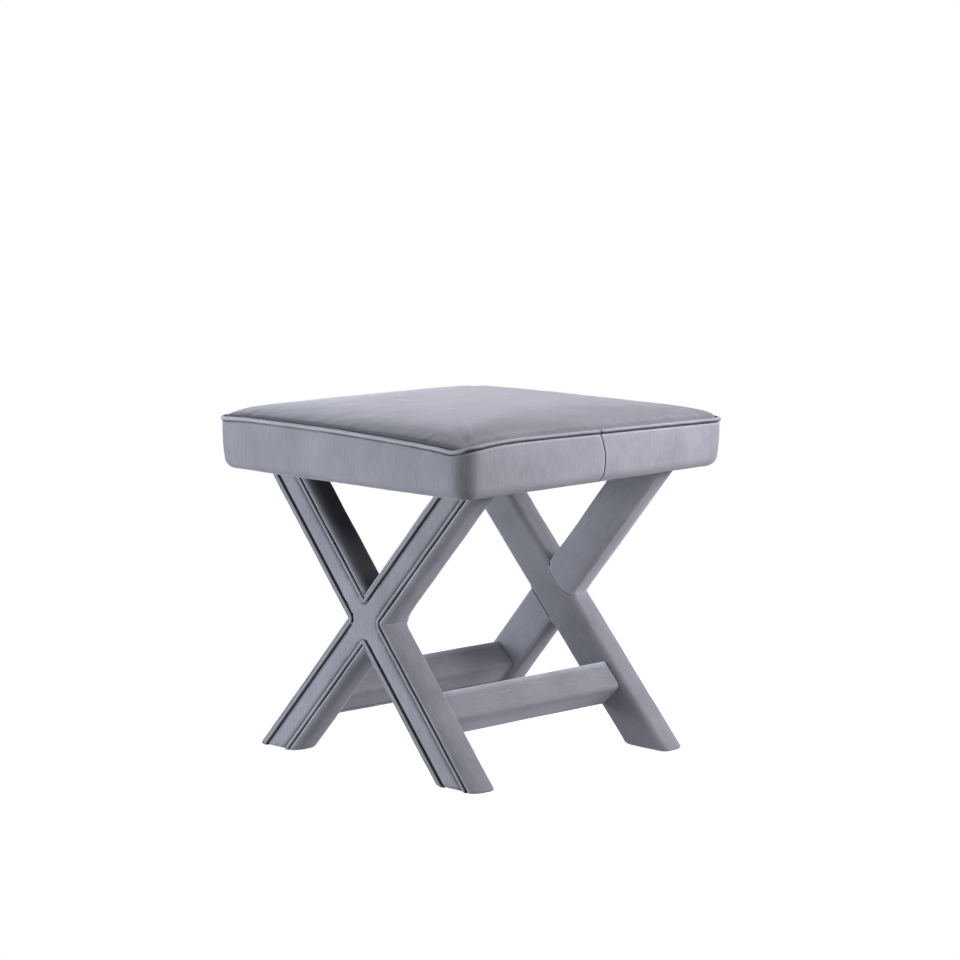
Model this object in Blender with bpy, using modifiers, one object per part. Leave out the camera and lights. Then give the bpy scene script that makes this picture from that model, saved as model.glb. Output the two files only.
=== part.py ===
"""Upholstered bench on two crossed-leg frames, as its separate pieces.

Metres, +Z up, standing on z = 0. The frames stand near the seat's -X and +X
edges, and two stretchers join them along X. On each frame, leg A rises
towards +Y and leg B rises towards -Y.
"""

from math import acos, atan2, cos, hypot, pi, radians, sin, sqrt, tan

import bmesh
import bpy
from mathutils import Vector

# Fits and cloth
GAP = 0.0003  # left between pieces that touch
FABRIC = 0.0015  # velvet with its backing
WELT = 0.006  # piping diameter
WELT_PROUD = 0.0015  # how far the piping stands out of its face

# Seat
SEAT_SIDE = 0.482  # square, across the lower edge
SEAT_UNDERSIDE = 0.385
BOXING_HEIGHT = 0.0613  # side band, up to the piping
BOXING_FLARE = 0.003  # the band leans out this much on each side
BOXING_SEAM_X = 0.008
HEM_ROUND = 0.015  # lower edge of the band
SHOULDER_RISE = 0.015  # top panel, from the piping to its shoulder
SHOULDER_POWER = 12  # a higher power gives a tighter shoulder
CROWN_RISE = 0.0085  # top panel, from the shoulder to the middle
CROWN_CELLS = 14
CROWN_CROWDING = 1.8  # draws the grid lines towards the seat's edge
RAIL_THICK = 0.019
RAIL_HEIGHT = 0.040
POST_CORE = 0.004  # radius left inside a corner post
CROSS_RAIL_WIDTH = 0.050
CROSS_RAIL_HEIGHT = 0.025
DECK_THICK = 0.009
DUST_COVER_THICK = 0.001

# Crossed-leg frames
FRAME_INSET = 0.048  # seat edge to the frame's face, at the crossing
FRAME_SPLAY = radians(1.72)  # the frames lean outwards on the way down
CROSS_HEIGHT = 0.196
LEG_TOP_INSET = 0.0708  # seat edge to the leg's axis, at the top
LEG_WIDTH = 0.0594
LEG_THICK = 0.042
LEG_ROUND = 0.0097  # edges of the inner face
FACE_WIDTH = 0.0404  # outer face, over its piping
LEG_SHOULDER = 0.021  # depth over which the leg swells from face to full width
FACE_PAD = 0.0045
WELT_BEND = 0.0032  # piping's centreline in the corners of the cross

# Stretchers
STRETCHER_SIDE = 0.042
STRETCHER_ROUND = 0.004
STRETCHER_HEIGHT = 0.0815

# Fasteners: shank, head and hold
LEG_SCREW = 0.008
LEG_SCREW_HEAD = 0.014
LEG_SCREW_HEAD_HEIGHT = 0.005
LEG_SCREW_HOLD = 0.050  # depth in the leg
LAP_SCREW = 0.005
LAP_SCREW_HEAD = 0.009
LAP_SCREW_HEAD_HEIGHT = 0.003
LAP_SCREW_HOLD = 0.012  # depth in the second leg
STRETCHER_SCREW = 0.007
STRETCHER_SCREW_HEAD = 0.012
STRETCHER_SCREW_HEAD_HEIGHT = 0.003
STRETCHER_SCREW_HOLD = 0.035  # depth in the stretcher

# Feet
FOOT_PAD = 0.024
FOOT_PAD_THICK = 0.002
FOOT_BEVEL = 0.005  # eased edges at the foot of each wooden leg

# Segments in round stretches
ARC_STEPS = 5
ROUND_STEPS = 12
MERGE_DISTANCE = 0.00001

# Worked out from the sizes above
SKIN = FABRIC + GAP  # from a cloth's face to the piece behind it
WELT_RADIUS = WELT / 2
SEAT_HALF = SEAT_SIDE / 2
HEM = RAIL_THICK + SKIN
SEAT_CORNER = HEM + POST_CORE
WELT_HEIGHT = SEAT_UNDERSIDE + BOXING_HEIGHT + GAP + WELT_RADIUS
WELT_OUT = BOXING_FLARE + WELT_PROUD - WELT_RADIUS
COVER_HALF = SEAT_HALF + WELT_OUT - WELT_RADIUS - GAP
FOAM_INSET = 2 * SKIN  # clears the panel on its steep shoulder too
RAIL_BASE = SEAT_UNDERSIDE + SKIN
DECK_BASE = RAIL_BASE + RAIL_HEIGHT + GAP
FOAM_BASE = DECK_BASE + DECK_THICK + GAP
FRAME_FACE = SEAT_HALF - FRAME_INSET
FRAME_LEAN = tan(FRAME_SPLAY)
LEG_TOP = SEAT_UNDERSIDE - GAP - CROSS_HEIGHT
LEG_FOOT = FOOT_PAD_THICK + GAP - CROSS_HEIGHT
LEG_RUN = SEAT_HALF - LEG_TOP_INSET
LEG_LENGTH = hypot(LEG_RUN, SEAT_UNDERSIDE - CROSS_HEIGHT)
LEG_COS = LEG_RUN / LEG_LENGTH
LEG_SIN = (SEAT_UNDERSIDE - CROSS_HEIGHT) / LEG_LENGTH
LEG_SLOPE = LEG_COS / LEG_SIN
LEG_ANGLE = atan2(LEG_SIN, LEG_COS)
FACE_HALF = FACE_WIDTH / 2
WELT_LINE = FACE_HALF - GAP - WELT_RADIUS
PANEL_HALF = WELT_LINE - WELT_RADIUS - GAP
CORE_FACE = max(FACE_PAD, WELT - WELT_PROUD) + GAP
CORE_HALF = LEG_WIDTH / 2 - SKIN
LAP_DEPTH = (CORE_FACE + LEG_THICK - SKIN) / 2
SEAM_LINE = LEG_WIDTH / 2 - LEG_ROUND
STRETCHER_Y = (CROSS_HEIGHT - STRETCHER_HEIGHT) * LEG_SLOPE
LEG_SCREW_Y = (LEG_TOP - LEG_SCREW_HOLD / 2) * LEG_SLOPE
CROSS_RAIL_X = FRAME_FACE - FRAME_LEAN * LEG_TOP - LEG_THICK / 2
CROSS_RAIL_TOP = RAIL_BASE + CROSS_RAIL_HEIGHT

# Names and directions
SIDES = {"left": -1, "right": 1}
ENDS = {"front": -1, "back": 1}
LEAN_A, LEAN_B = 1, -1  # leg A rises towards +Y, leg B towards -Y
LEGS = {"a": LEAN_A, "b": LEAN_B}

# Edges of the cross: quarter turns from upright, then for both arms the leg,
# which edge of it, and whether the arm ends at the top
VEES = {
    "top": (0, (LEAN_A, -1, True), (LEAN_B, 1, True)),
    "front": (3, (LEAN_B, -1, True), (LEAN_A, -1, False)),
    "bottom": (2, (LEAN_A, 1, False), (LEAN_B, -1, False)),
    "back": (1, (LEAN_B, 1, False), (LEAN_A, 1, True)),
}


def clear_scene():
    for item in list(bpy.data.objects):
        bpy.data.objects.remove(item, do_unlink=True)


def new_collection(name):
    group = bpy.data.collections.new(name)
    bpy.context.scene.collection.children.link(group)
    return group


def new_material(name, colour, roughness, metallic=0.0):
    material = bpy.data.materials.new(name)
    material.use_nodes = True
    shader = material.node_tree.nodes["Principled BSDF"]
    shader.inputs["Base Color"].default_value = (*colour, 1.0)
    shader.inputs["Roughness"].default_value = roughness
    shader.inputs["Metallic"].default_value = metallic
    return material


clear_scene()
PARTS = new_collection("Upholstered bench")
CUTTERS = new_collection("Cutters")
VELVET = new_material("Velvet", (0.235, 0.25, 0.30), 0.85)
BEECH = new_material("Beech", (0.55, 0.38, 0.22), 0.6)
PLYWOOD = new_material("Plywood", (0.60, 0.45, 0.28), 0.65)
FOAM = new_material("Foam", (0.80, 0.76, 0.60), 0.9)
CAMBRIC = new_material("Cambric", (0.02, 0.02, 0.02), 0.9)
STEEL = new_material("Zinc-plated steel", (0.55, 0.55, 0.56), 0.35, metallic=1.0)
FELT = new_material("Felt", (0.05, 0.05, 0.05), 0.95)


def new_empty(name, place):
    empty = bpy.data.objects.new(name, None)
    empty.location = place
    PARTS.objects.link(empty)
    return empty


def new_piece(name, data, material, parent):
    piece = bpy.data.objects.new(name, data)
    piece.parent = parent
    data.materials.append(material)
    PARTS.objects.link(piece)
    return piece


def new_cutter(name, bm, parent):
    cutter = bpy.data.objects.new(name, mesh_from(name, bm))
    cutter.parent = parent
    cutter.hide_render = True
    cutter.display_type = "WIRE"
    CUTTERS.objects.link(cutter)
    return cutter


def cut(piece, cutter):
    modifier = piece.modifiers.new(cutter.name, "BOOLEAN")
    modifier.operation = "DIFFERENCE"
    modifier.solver = "EXACT"
    modifier.object = cutter


def mesh_from(name, bm):
    """Mesh of a closed solid with its faces out, or of an open surface as it is."""
    if not any(edge.is_boundary for edge in bm.edges):
        bmesh.ops.recalc_face_normals(bm, faces=bm.faces)
    mesh = bpy.data.meshes.new(name)
    bm.to_mesh(mesh)
    bm.free()
    return mesh


def outline_face(bm, points):
    return bm.faces.new([bm.verts.new(point) for point in points])


def end_face(geometry):
    return next(item for item in geometry if isinstance(item, bmesh.types.BMFace))


def extrude(bm, face, step):
    """Extrude an end face and give the new end; a lone face stays as a cap."""
    is_cap = all(edge.is_boundary for edge in face.edges)
    grown = bmesh.ops.extrude_face_region(bm, geom=[face])["geom"]
    moved = [item for item in grown if isinstance(item, bmesh.types.BMVert)]
    bmesh.ops.translate(bm, verts=moved, vec=step)
    if not is_cap:
        bm.faces.remove(face)
    return end_face(grown)


def spin(bm, face, centre, angle):
    """Turn an end face about a vertical axis, in the same way as extrude."""
    is_cap = all(edge.is_boundary for edge in face.edges)
    spun = bmesh.ops.spin(
        bm, geom=[face], cent=centre, axis=(0, 0, 1), angle=angle, steps=ARC_STEPS
    )
    if not is_cap:
        bm.faces.remove(face)
    return end_face(spun["geom_last"])


def prism(points, step):
    bm = bmesh.new()
    extrude(bm, outline_face(bm, points), step)
    return bm


def keep_side(bm, point, normal):
    """Cut a solid at a plane and keep the side that the normal points to."""
    geometry = bm.verts[:] + bm.edges[:] + bm.faces[:]
    bmesh.ops.bisect_plane(
        bm, geom=geometry, plane_co=point, plane_no=normal, clear_inner=True
    )
    rim = [edge for edge in bm.edges if edge.is_boundary]
    bmesh.ops.holes_fill(bm, edges=rim)


def cylinder(radius, start, end):
    """A closed cylinder between two points."""
    axis = Vector(end) - Vector(start)
    bm = bmesh.new()
    bmesh.ops.create_cone(
        bm, cap_ends=True, segments=ROUND_STEPS, radius1=radius, radius2=radius, depth=axis.length
    )
    turn = axis.to_track_quat("Z", "Y").to_matrix().to_4x4()
    turn.translation = (Vector(start) + Vector(end)) / 2
    bmesh.ops.transform(bm, matrix=turn, verts=bm.verts)
    return bm


def turned_screw(name, shank, head, head_height, length):
    """A screw along +Z, with the underside of its head at the origin."""
    radius = shank / 2
    profile = [
        (0, -length),
        (radius, radius - length),
        (radius, 0),
        (head / 2, 0),
        (head / 2, head_height),
        (0, head_height),
    ]
    bm = bmesh.new()
    verts = [bm.verts.new((across, 0, along)) for across, along in profile]
    for low, high in zip(verts, verts[1:]):
        bm.edges.new((low, high))
    mesh = bpy.data.meshes.new(name)
    bm.to_mesh(mesh)
    bm.free()
    piece = new_piece(name, mesh, STEEL, None)
    turn = piece.modifiers.new("Turn", "SCREW")
    turn.axis = "Z"
    turn.steps = ROUND_STEPS
    turn.render_steps = ROUND_STEPS
    turn.use_merge_vertices = True
    turn.merge_threshold = MERGE_DISTANCE
    turn.use_normal_flip = True
    return piece


def piping(name, points, closed, parent):
    """Velvet-covered cord along a path."""
    curve = bpy.data.curves.new(name, "CURVE")
    curve.dimensions = "3D"
    curve.bevel_depth = WELT_RADIUS
    curve.bevel_resolution = 2
    curve.use_fill_caps = True
    spline = curve.splines.new("POLY")
    spline.points.add(len(points) - 1)
    for target, point in zip(spline.points, points):
        target.co = (*point, 1.0)
    spline.use_cyclic_u = closed
    return new_piece(name, curve, VELVET, parent)


def arc(centre, radii, start, end):
    """Points of an elliptical arc in a plane, with its angles in radians."""
    turns = [start + (end - start) * i / ARC_STEPS for i in range(ARC_STEPS + 1)]
    return [(centre[0] + radii[0] * cos(a), centre[1] + radii[1] * sin(a)) for a in turns]


def round_square(half, corner):
    """Plan outline of a square with round corners, anticlockwise."""
    points = []
    for quarter in range(4):
        start = quarter * pi / 2
        reach = (half - corner) * sqrt(2)
        centre = (reach * cos(start + pi / 4), reach * sin(start + pi / 4))
        points += arc(centre, (corner, corner), start, start + pi / 2)
    return points


# Seat

def boxing_section(inset):
    """Half section of the side band as (out, up) points, from hem to piping."""
    centre = (-HEM_ROUND, HEM_ROUND)
    radius = HEM_ROUND - inset
    lower = arc(centre, (radius, radius), -pi / 2, 0)
    return [(-HEM, inset), *lower, (BOXING_FLARE - inset, BOXING_HEIGHT)]


def build_boxing(seat):
    """Two lengths of band, each from seam to seam round one side of the seat."""
    section = boxing_section(0) + boxing_section(FABRIC)[::-1]
    straight = SEAT_SIDE - 2 * SEAT_CORNER
    corner = SEAT_HALF - SEAT_CORNER
    for side, sign in SIDES.items():
        name = f"boxing_band_{side}"
        seam = BOXING_SEAM_X + sign * GAP / 2
        bm = bmesh.new()
        face = outline_face(bm, [(seam, -SEAT_HALF - out, up) for out, up in section])
        face = extrude(bm, face, (sign * corner - seam, 0, 0))
        face = spin(bm, face, (sign * corner, -corner, 0), sign * pi / 2)
        face = extrude(bm, face, (0, straight, 0))
        face = spin(bm, face, (sign * corner, corner, 0), sign * pi / 2)
        extrude(bm, face, (seam - sign * corner, 0, 0))
        new_piece(name, mesh_from(name, bm), VELVET, seat)


def rail_section():
    """Closed section shared by the rails and posts, as (out, up) points."""
    radius = HEM_ROUND - SKIN
    lower = arc((-HEM_ROUND, HEM_ROUND), (radius, radius), -pi / 2, 0)
    top = SKIN + RAIL_HEIGHT
    return [(-HEM, SKIN), *lower, (-SKIN, top), (-HEM, top)]


def build_seat_frame(seat):
    """Each rail with the corner post at its anticlockwise end."""
    straight = SEAT_SIDE - 2 * SEAT_CORNER
    corner = SEAT_HALF - SEAT_CORNER
    names = ("front", "right", "back", "left")
    posts = ("front_right", "back_right", "back_left", "front_left")
    for quarter in range(4):
        name = f"seat_rail_{names[quarter]}"
        points = [(GAP / 2 - corner, -SEAT_HALF - out, up) for out, up in rail_section()]
        rail = new_piece(name, mesh_from(name, prism(points, (straight - GAP, 0, 0))), BEECH, seat)
        rail.rotation_euler.z = quarter * pi / 2
        name = f"corner_post_{posts[quarter]}"
        bm = bmesh.new()
        face = outline_face(bm, [(corner + GAP / 2, -SEAT_HALF - out, up) for out, up in rail_section()])
        spin(bm, face, (corner + GAP / 2, -corner - GAP / 2, 0), pi / 2)
        post = new_piece(name, mesh_from(name, bm), BEECH, seat)
        post.rotation_euler.z = quarter * pi / 2


def build_cross_rails(seat):
    reach = SEAT_HALF - HEM - GAP
    for side, sign in SIDES.items():
        name = f"cross_rail_{side}"
        bm = bmesh.new()
        bmesh.ops.create_cube(bm, size=1)
        bmesh.ops.scale(bm, vec=(CROSS_RAIL_WIDTH, 2 * reach, CROSS_RAIL_HEIGHT), verts=bm.verts)
        rail = new_piece(name, mesh_from(name, bm), BEECH, seat)
        rail.location = (sign * CROSS_RAIL_X, 0, SKIN + CROSS_RAIL_HEIGHT / 2)
        for end in ENDS:
            cut(rail, LEG_HOLES[side, end])


def build_dust_cover(seat):
    name = "dust_cover"
    plan = round_square(SEAT_HALF - HEM - GAP, POST_CORE)
    cover = prism([(x, y, 0) for x, y in plan], (0, 0, DUST_COVER_THICK))
    cover = new_piece(name, mesh_from(name, cover), CAMBRIC, seat)
    for hole in LEG_HOLES.values():
        cut(cover, hole)


def build_deck(seat):
    name = "seat_deck"
    plan = round_square(SEAT_HALF - SKIN, SEAT_CORNER - SKIN)
    deck = prism([(x, y, 0) for x, y in plan], (0, 0, DECK_THICK))
    deck = new_piece(name, mesh_from(name, deck), PLYWOOD, seat)
    deck.location.z = DECK_BASE - SEAT_UNDERSIDE


def crown_point(u, v, half):
    """Point of the crowned top over the unit square, with its edge at z = 0."""
    reach = max(abs(u), abs(v))
    if reach == 0:
        return 0, 0, SHOULDER_RISE + CROWN_RISE
    x, y = u / reach * half, v / reach * half
    inner = SEAT_HALF - SEAT_CORNER
    over_x, over_y = abs(x) - inner, abs(y) - inner
    if over_x > 0 and over_y > 0:
        pull = (half - inner) / hypot(over_x, over_y)
        x = (inner + over_x * pull) * (1 if x > 0 else -1)
        y = (inner + over_y * pull) * (1 if y > 0 else -1)
    shoulder = SHOULDER_RISE * sqrt(1 - reach**SHOULDER_POWER)
    crown = CROWN_RISE * (1 - u * u) * (1 - v * v)
    return x * reach, y * reach, shoulder + crown


def crowned_grid(half):
    """Open crowned surface, with its grid lines crowded towards the edge."""
    bm = bmesh.new()
    bmesh.ops.create_grid(bm, x_segments=CROWN_CELLS, y_segments=CROWN_CELLS, size=1)
    for vert in bm.verts:
        u, v = [
            (1 - (1 - min(abs(value), 1)) ** CROWN_CROWDING) * (1 if value > 0 else -1)
            for value in vert.co.xy
        ]
        vert.co = crown_point(u, v, half)
    return bm


def build_top(seat):
    name = "seat_top_panel"
    panel = new_piece(name, mesh_from(name, crowned_grid(COVER_HALF)), VELVET, seat)
    panel.data.shade_smooth()
    panel.location.z = WELT_HEIGHT - SEAT_UNDERSIDE
    cloth = panel.modifiers.new("Cloth", "SOLIDIFY")
    cloth.thickness = FABRIC
    cloth.offset = -1
    name = "seat_foam"
    bm = crowned_grid(COVER_HALF - FOAM_INSET)
    top = WELT_HEIGHT - FOAM_BASE - FOAM_INSET
    bmesh.ops.translate(bm, verts=bm.verts, vec=(0, 0, top))
    grown = bmesh.ops.extrude_face_region(bm, geom=bm.faces[:])["geom"]
    for item in grown:
        if isinstance(item, bmesh.types.BMVert):
            item.co.z = 0
    foam = new_piece(name, mesh_from(name, bm), FOAM, seat)
    foam.data.shade_smooth()
    foam.location.z = FOAM_BASE - SEAT_UNDERSIDE


def build_seat_welt(seat):
    plan = round_square(SEAT_HALF + WELT_OUT, SEAT_CORNER + WELT_OUT)
    height = WELT_HEIGHT - SEAT_UNDERSIDE
    piping("seat_welt", [(x, y, height) for x, y in plan], True, seat)


def build_seat():
    seat = new_empty("seat", (0, 0, SEAT_UNDERSIDE))
    build_boxing(seat)
    build_seat_frame(seat)
    build_cross_rails(seat)
    build_dust_cover(seat)
    build_deck(seat)
    build_top(seat)
    build_seat_welt(seat)


# Crossed-leg frames, in axes from the crossing on the frame's face

def leg_half_section(inset, face):
    """Half section of a leg as (depth, width) points, from outer to inner face."""
    half = LEG_WIDTH / 2
    start = acos((LEG_SHOULDER - face) / (LEG_SHOULDER - inset))
    radii = (LEG_SHOULDER - inset, half - FACE_HALF - inset)
    outer = arc((LEG_SHOULDER, FACE_HALF), radii, pi - start, pi / 2)
    radius = LEG_ROUND - inset
    inner = arc((LEG_THICK - LEG_ROUND, half - LEG_ROUND), (radius, radius), pi / 2, 0)
    return outer + inner


def both_halves(half_section):
    return half_section + [(depth, -width) for depth, width in half_section[::-1]]


def frame_point(sign, depth, y, z):
    """Place a point of the leaning frame, at a depth behind its outer face."""
    return -sign * (depth + FRAME_LEAN * z), y, z


def leg_prism(sign, lean, section, low=LEG_FOOT, high=LEG_TOP):
    """Slanted leg with level ends, from its section square to the leg."""
    middle = lean * LEG_SLOPE * low
    points = [frame_point(sign, depth, middle + width / LEG_SIN, low) for depth, width in section]
    rise = high - low
    return prism(points, (-sign * FRAME_LEAN * rise, lean * LEG_SLOPE * rise, rise))


def ease_foot(bm):
    """Bevel the edges of a leg's lower end."""
    foot = min(bm.faces, key=lambda face: face.calc_center_median().z)
    bmesh.ops.bevel(
        bm, geom=foot.edges[:], offset=FOOT_BEVEL, segments=1, profile=0.5, affect="EDGES", material=-1
    )


def wrap_section():
    return both_halves(leg_half_section(0, 0)) + both_halves(leg_half_section(FABRIC, FABRIC))[::-1]


def build_core(side, sign, frame, leg, lean):
    """Wooden leg with half its thickness cut away where the other leg crosses."""
    name = f"leg_{leg}_core_{side}"
    bm = leg_prism(sign, lean, both_halves(leg_half_section(SKIN, CORE_FACE)))
    ease_foot(bm)
    core = new_piece(name, mesh_from(name, bm), BEECH, frame)
    near, far = (0, LAP_DEPTH + GAP / 2) if leg == "a" else (LAP_DEPTH - GAP / 2, LEG_THICK)
    width = CORE_HALF + GAP
    lap = [(near, -width), (near, width), (far, width), (far, -width)]
    cutter = leg_prism(sign, -lean, lap, -LEG_WIDTH, LEG_WIDTH)
    cut(core, new_cutter(f"lap_{leg}_{side}", cutter, frame))
    upper, lower = ("back", "front") if leg == "a" else ("front", "back")
    for cutter in (LEG_HOLES[side, upper], *STRETCHER_HOLES[side, lower], *LAP_HOLES[side][leg]):
        cut(core, cutter)


def build_wraps(side, sign, frame):
    """Leg A's wrap runs through on the inner face; leg B's is in two lengths."""
    name = f"leg_a_wrap_{side}"
    wrap = new_piece(name, mesh_from(name, leg_prism(sign, LEAN_A, wrap_section())), VELVET, frame)
    cut(wrap, STRETCHER_HOLES[side, "front"][0])
    reach = LEG_WIDTH + LEG_THICK
    line = SEAM_LINE - GAP
    for half, up in (("lower", -1), ("upper", 1)):
        outline = [
            (0, line / LEG_COS),
            (0, reach),
            (-reach, reach),
            (-reach, 0),
            (-line / LEG_SIN, 0),
        ]
        points = [(-reach, up * y, up * z) for y, z in outline]
        wedge = prism(points, (2 * reach, 0, 0))
        cut(wrap, new_cutter(f"leg_b_{half}_room_{side}", wedge, frame))
        name = f"leg_b_wrap_{half}_{side}"
        bm = leg_prism(sign, LEAN_B, wrap_section())
        keep_side(bm, (0, -up * GAP, 0), (0, -up, 0))
        keep_side(bm, (0, 0, up * GAP), (0, 0, up))
        across = Vector((0, -up * LEG_SIN, up * LEG_COS))
        keep_side(bm, across * SEAM_LINE, across)
        length = new_piece(name, mesh_from(name, bm), VELVET, frame)
        if half == "lower":
            cut(length, STRETCHER_HOLES[side, "back"][0])


def vee(name, half_width, bend, top, foot):
    """One edge of the cross as (y, z) points: an arm, a round corner, an arm."""
    turn, *arms = VEES[name]
    upright = turn % 2 == 0
    run = LEG_COS if upright else LEG_SIN
    slope = LEG_ANGLE if upright else pi / 2 - LEG_ANGLE
    centre = (half_width + bend) / run
    corner = arc((0, centre), (bend, bend), slope - pi / 2, -slope - pi / 2)
    spun = turn * pi / 2
    points = [(y * cos(spun) + z * sin(spun), z * cos(spun) - y * sin(spun)) for y, z in corner]
    ends = []
    for lean, edge, height in [(lean, edge, top if up else foot) for lean, edge, up in arms]:
        ends.append((lean * LEG_SLOPE * height + edge * half_width / LEG_SIN, height))
    return [ends[0], *points, ends[1]]


def build_face(side, sign, frame):
    """Padded cross on the outer face, with piping in its four corners."""
    outline = []
    for vee_name in VEES:
        outline += vee(vee_name, PANEL_HALF, WELT_BEND + WELT_LINE - PANEL_HALF, LEG_TOP, LEG_FOOT)
    name = f"face_panel_{side}"
    points = [frame_point(sign, 0, y, z) for y, z in outline]
    new_piece(name, mesh_from(name, prism(points, (-sign * FACE_PAD, 0, 0))), VELVET, frame)
    trim = WELT_RADIUS * LEG_COS
    depth = WELT_RADIUS - WELT_PROUD
    for vee_name in VEES:
        path = vee(vee_name, WELT_LINE, WELT_BEND, LEG_TOP - trim, LEG_FOOT + trim)
        points = [frame_point(sign, depth, y, z) for y, z in path]
        piping(f"face_welt_{vee_name}_{side}", points, False, frame)


def build_foot_pads(side, sign, frame):
    y = LEG_SLOPE * LEG_FOOT
    for leg, lean in LEGS.items():
        name = f"foot_pad_{'front' if leg == 'a' else 'back'}_{side}"
        top = frame_point(sign, LEG_THICK / 2, lean * y, LEG_FOOT - GAP)
        base = (*top[:2], -CROSS_HEIGHT)
        pad = cylinder(FOOT_PAD / 2, base, top)
        new_piece(name, mesh_from(name, pad), FELT, frame)


def build_frames():
    for side, sign in SIDES.items():
        frame = new_empty(f"{side}_frame", (sign * FRAME_FACE, 0, CROSS_HEIGHT))
        for leg, lean in LEGS.items():
            build_core(side, sign, frame, leg, lean)
        build_wraps(side, sign, frame)
        build_face(side, sign, frame)
        build_foot_pads(side, sign, frame)


# Stretchers

def stretcher_piece(name, outline, material, sign):
    """Bar along X whose ends lie on the leaning inner faces of the frames."""
    turn = pi + LEG_ANGLE if sign < 0 else -LEG_ANGLE
    bm = prism([(-1, y, z) for y, z in outline], (2, 0, 0))
    for vert in bm.verts:
        height = STRETCHER_HEIGHT + vert.co.y * sin(turn) + vert.co.z * cos(turn)
        vert.co.x *= FRAME_FACE - LEG_THICK - GAP + FRAME_LEAN * (CROSS_HEIGHT - height)
    bar = new_piece(name, mesh_from(name, bm), material, None)
    bar.location = (0, sign * STRETCHER_Y, STRETCHER_HEIGHT)
    bar.rotation_euler.x = turn
    return bar


def slit_loop(inset):
    """Round square outline that starts and ends at a slit in its first side."""
    half = STRETCHER_SIDE / 2 - inset
    loop = round_square(half, STRETCHER_ROUND - inset)
    return [(half, GAP / 2), *loop, (half, -GAP / 2)]


def build_stretchers():
    core = round_square(STRETCHER_SIDE / 2 - SKIN, STRETCHER_ROUND - SKIN)
    sleeve = slit_loop(0) + slit_loop(FABRIC)[::-1]
    for end, sign in ENDS.items():
        bar = stretcher_piece(f"stretcher_core_{end}", core, BEECH, sign)
        for side in SIDES:
            cut(bar, STRETCHER_HOLES[side, end][0])
        stretcher_piece(f"stretcher_sleeve_{end}", sleeve, VELVET, sign)


# Fasteners and the holes they need

def hole(name, shank, start, end):
    return new_cutter(name, cylinder(shank / 2 + GAP, start, end), None)


def leg_screw(side, end):
    """Screw from a cross rail down into the top of a leg."""
    x, y = SIDES[side] * CROSS_RAIL_X, ENDS[end] * LEG_SCREW_Y
    tip = LEG_TOP + CROSS_HEIGHT - LEG_SCREW_HOLD
    head = CROSS_RAIL_TOP + GAP
    name = f"leg_screw_{end}_{side}"
    screw = turned_screw(name, LEG_SCREW, LEG_SCREW_HEAD, LEG_SCREW_HEAD_HEIGHT, head - tip)
    screw.location = (x, y, head)
    return hole(f"{name}_hole", LEG_SCREW, (x, y, tip - GAP), (x, y, head + GAP))


def lap_screw(side):
    """Screw from the inner face through the half lap; gives leg A's and leg B's holes."""
    sign = SIDES[side]
    seat = LEG_THICK - SKIN - GAP - LAP_SCREW_HEAD_HEIGHT
    tip = LAP_DEPTH - LAP_SCREW_HOLD
    name = f"lap_screw_{side}"
    screw = turned_screw(name, LAP_SCREW, LAP_SCREW_HEAD, LAP_SCREW_HEAD_HEIGHT, seat - tip)
    screw.location = (sign * (FRAME_FACE - seat), 0, CROSS_HEIGHT)
    screw.rotation_euler.y = -sign * pi / 2
    places = [(sign * (FRAME_FACE - depth), 0, CROSS_HEIGHT) for depth in (tip - GAP, seat - GAP, LEG_THICK)]
    shank = hole(f"{name}_hole", LAP_SCREW, places[0], places[2])
    head = hole(f"{name}_head_hole", LAP_SCREW_HEAD, places[1], places[2])
    return {"a": (shank, head), "b": (shank,)}


def stretcher_screw(side, end):
    """Screw from under the face panel through a leg into a stretcher's end."""
    sign, y = SIDES[side], ENDS[end] * STRETCHER_Y
    face = FRAME_FACE + FRAME_LEAN * (CROSS_HEIGHT - STRETCHER_HEIGHT)
    seat = CORE_FACE + GAP + STRETCHER_SCREW_HEAD_HEIGHT
    tip = LEG_THICK + STRETCHER_SCREW_HOLD
    name = f"stretcher_screw_{end}_{side}"
    screw = turned_screw(
        name, STRETCHER_SCREW, STRETCHER_SCREW_HEAD, STRETCHER_SCREW_HEAD_HEIGHT, tip - seat
    )
    screw.location = (sign * (face - seat), y, STRETCHER_HEIGHT)
    screw.rotation_euler.y = sign * pi / 2
    depths = (CORE_FACE - STRETCHER_SCREW_HEAD_HEIGHT, seat + GAP, tip + GAP)
    places = [(sign * (face - depth), y, STRETCHER_HEIGHT) for depth in depths]
    shank = hole(f"{name}_hole", STRETCHER_SCREW, places[0], places[2])
    head = hole(f"{name}_head_hole", STRETCHER_SCREW_HEAD, places[0], places[1])
    return shank, head


def fasten(screw):
    return {(side, end): screw(side, end) for side in SIDES for end in ENDS}


LEG_HOLES = fasten(leg_screw)
STRETCHER_HOLES = fasten(stretcher_screw)
LAP_HOLES = {side: lap_screw(side) for side in SIDES}
build_seat()
build_frames()
build_stretchers()
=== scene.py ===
"""Velvet bench on crossed legs: its covers, finishes, stage and camera.

Metres, +Z up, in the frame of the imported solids. Left and right are -X and +X,
front and back are -Y and +Y. On each frame leg A rises towards the back and
leg B towards the front, and heights on a frame are taken from the crossing.
"""

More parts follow.
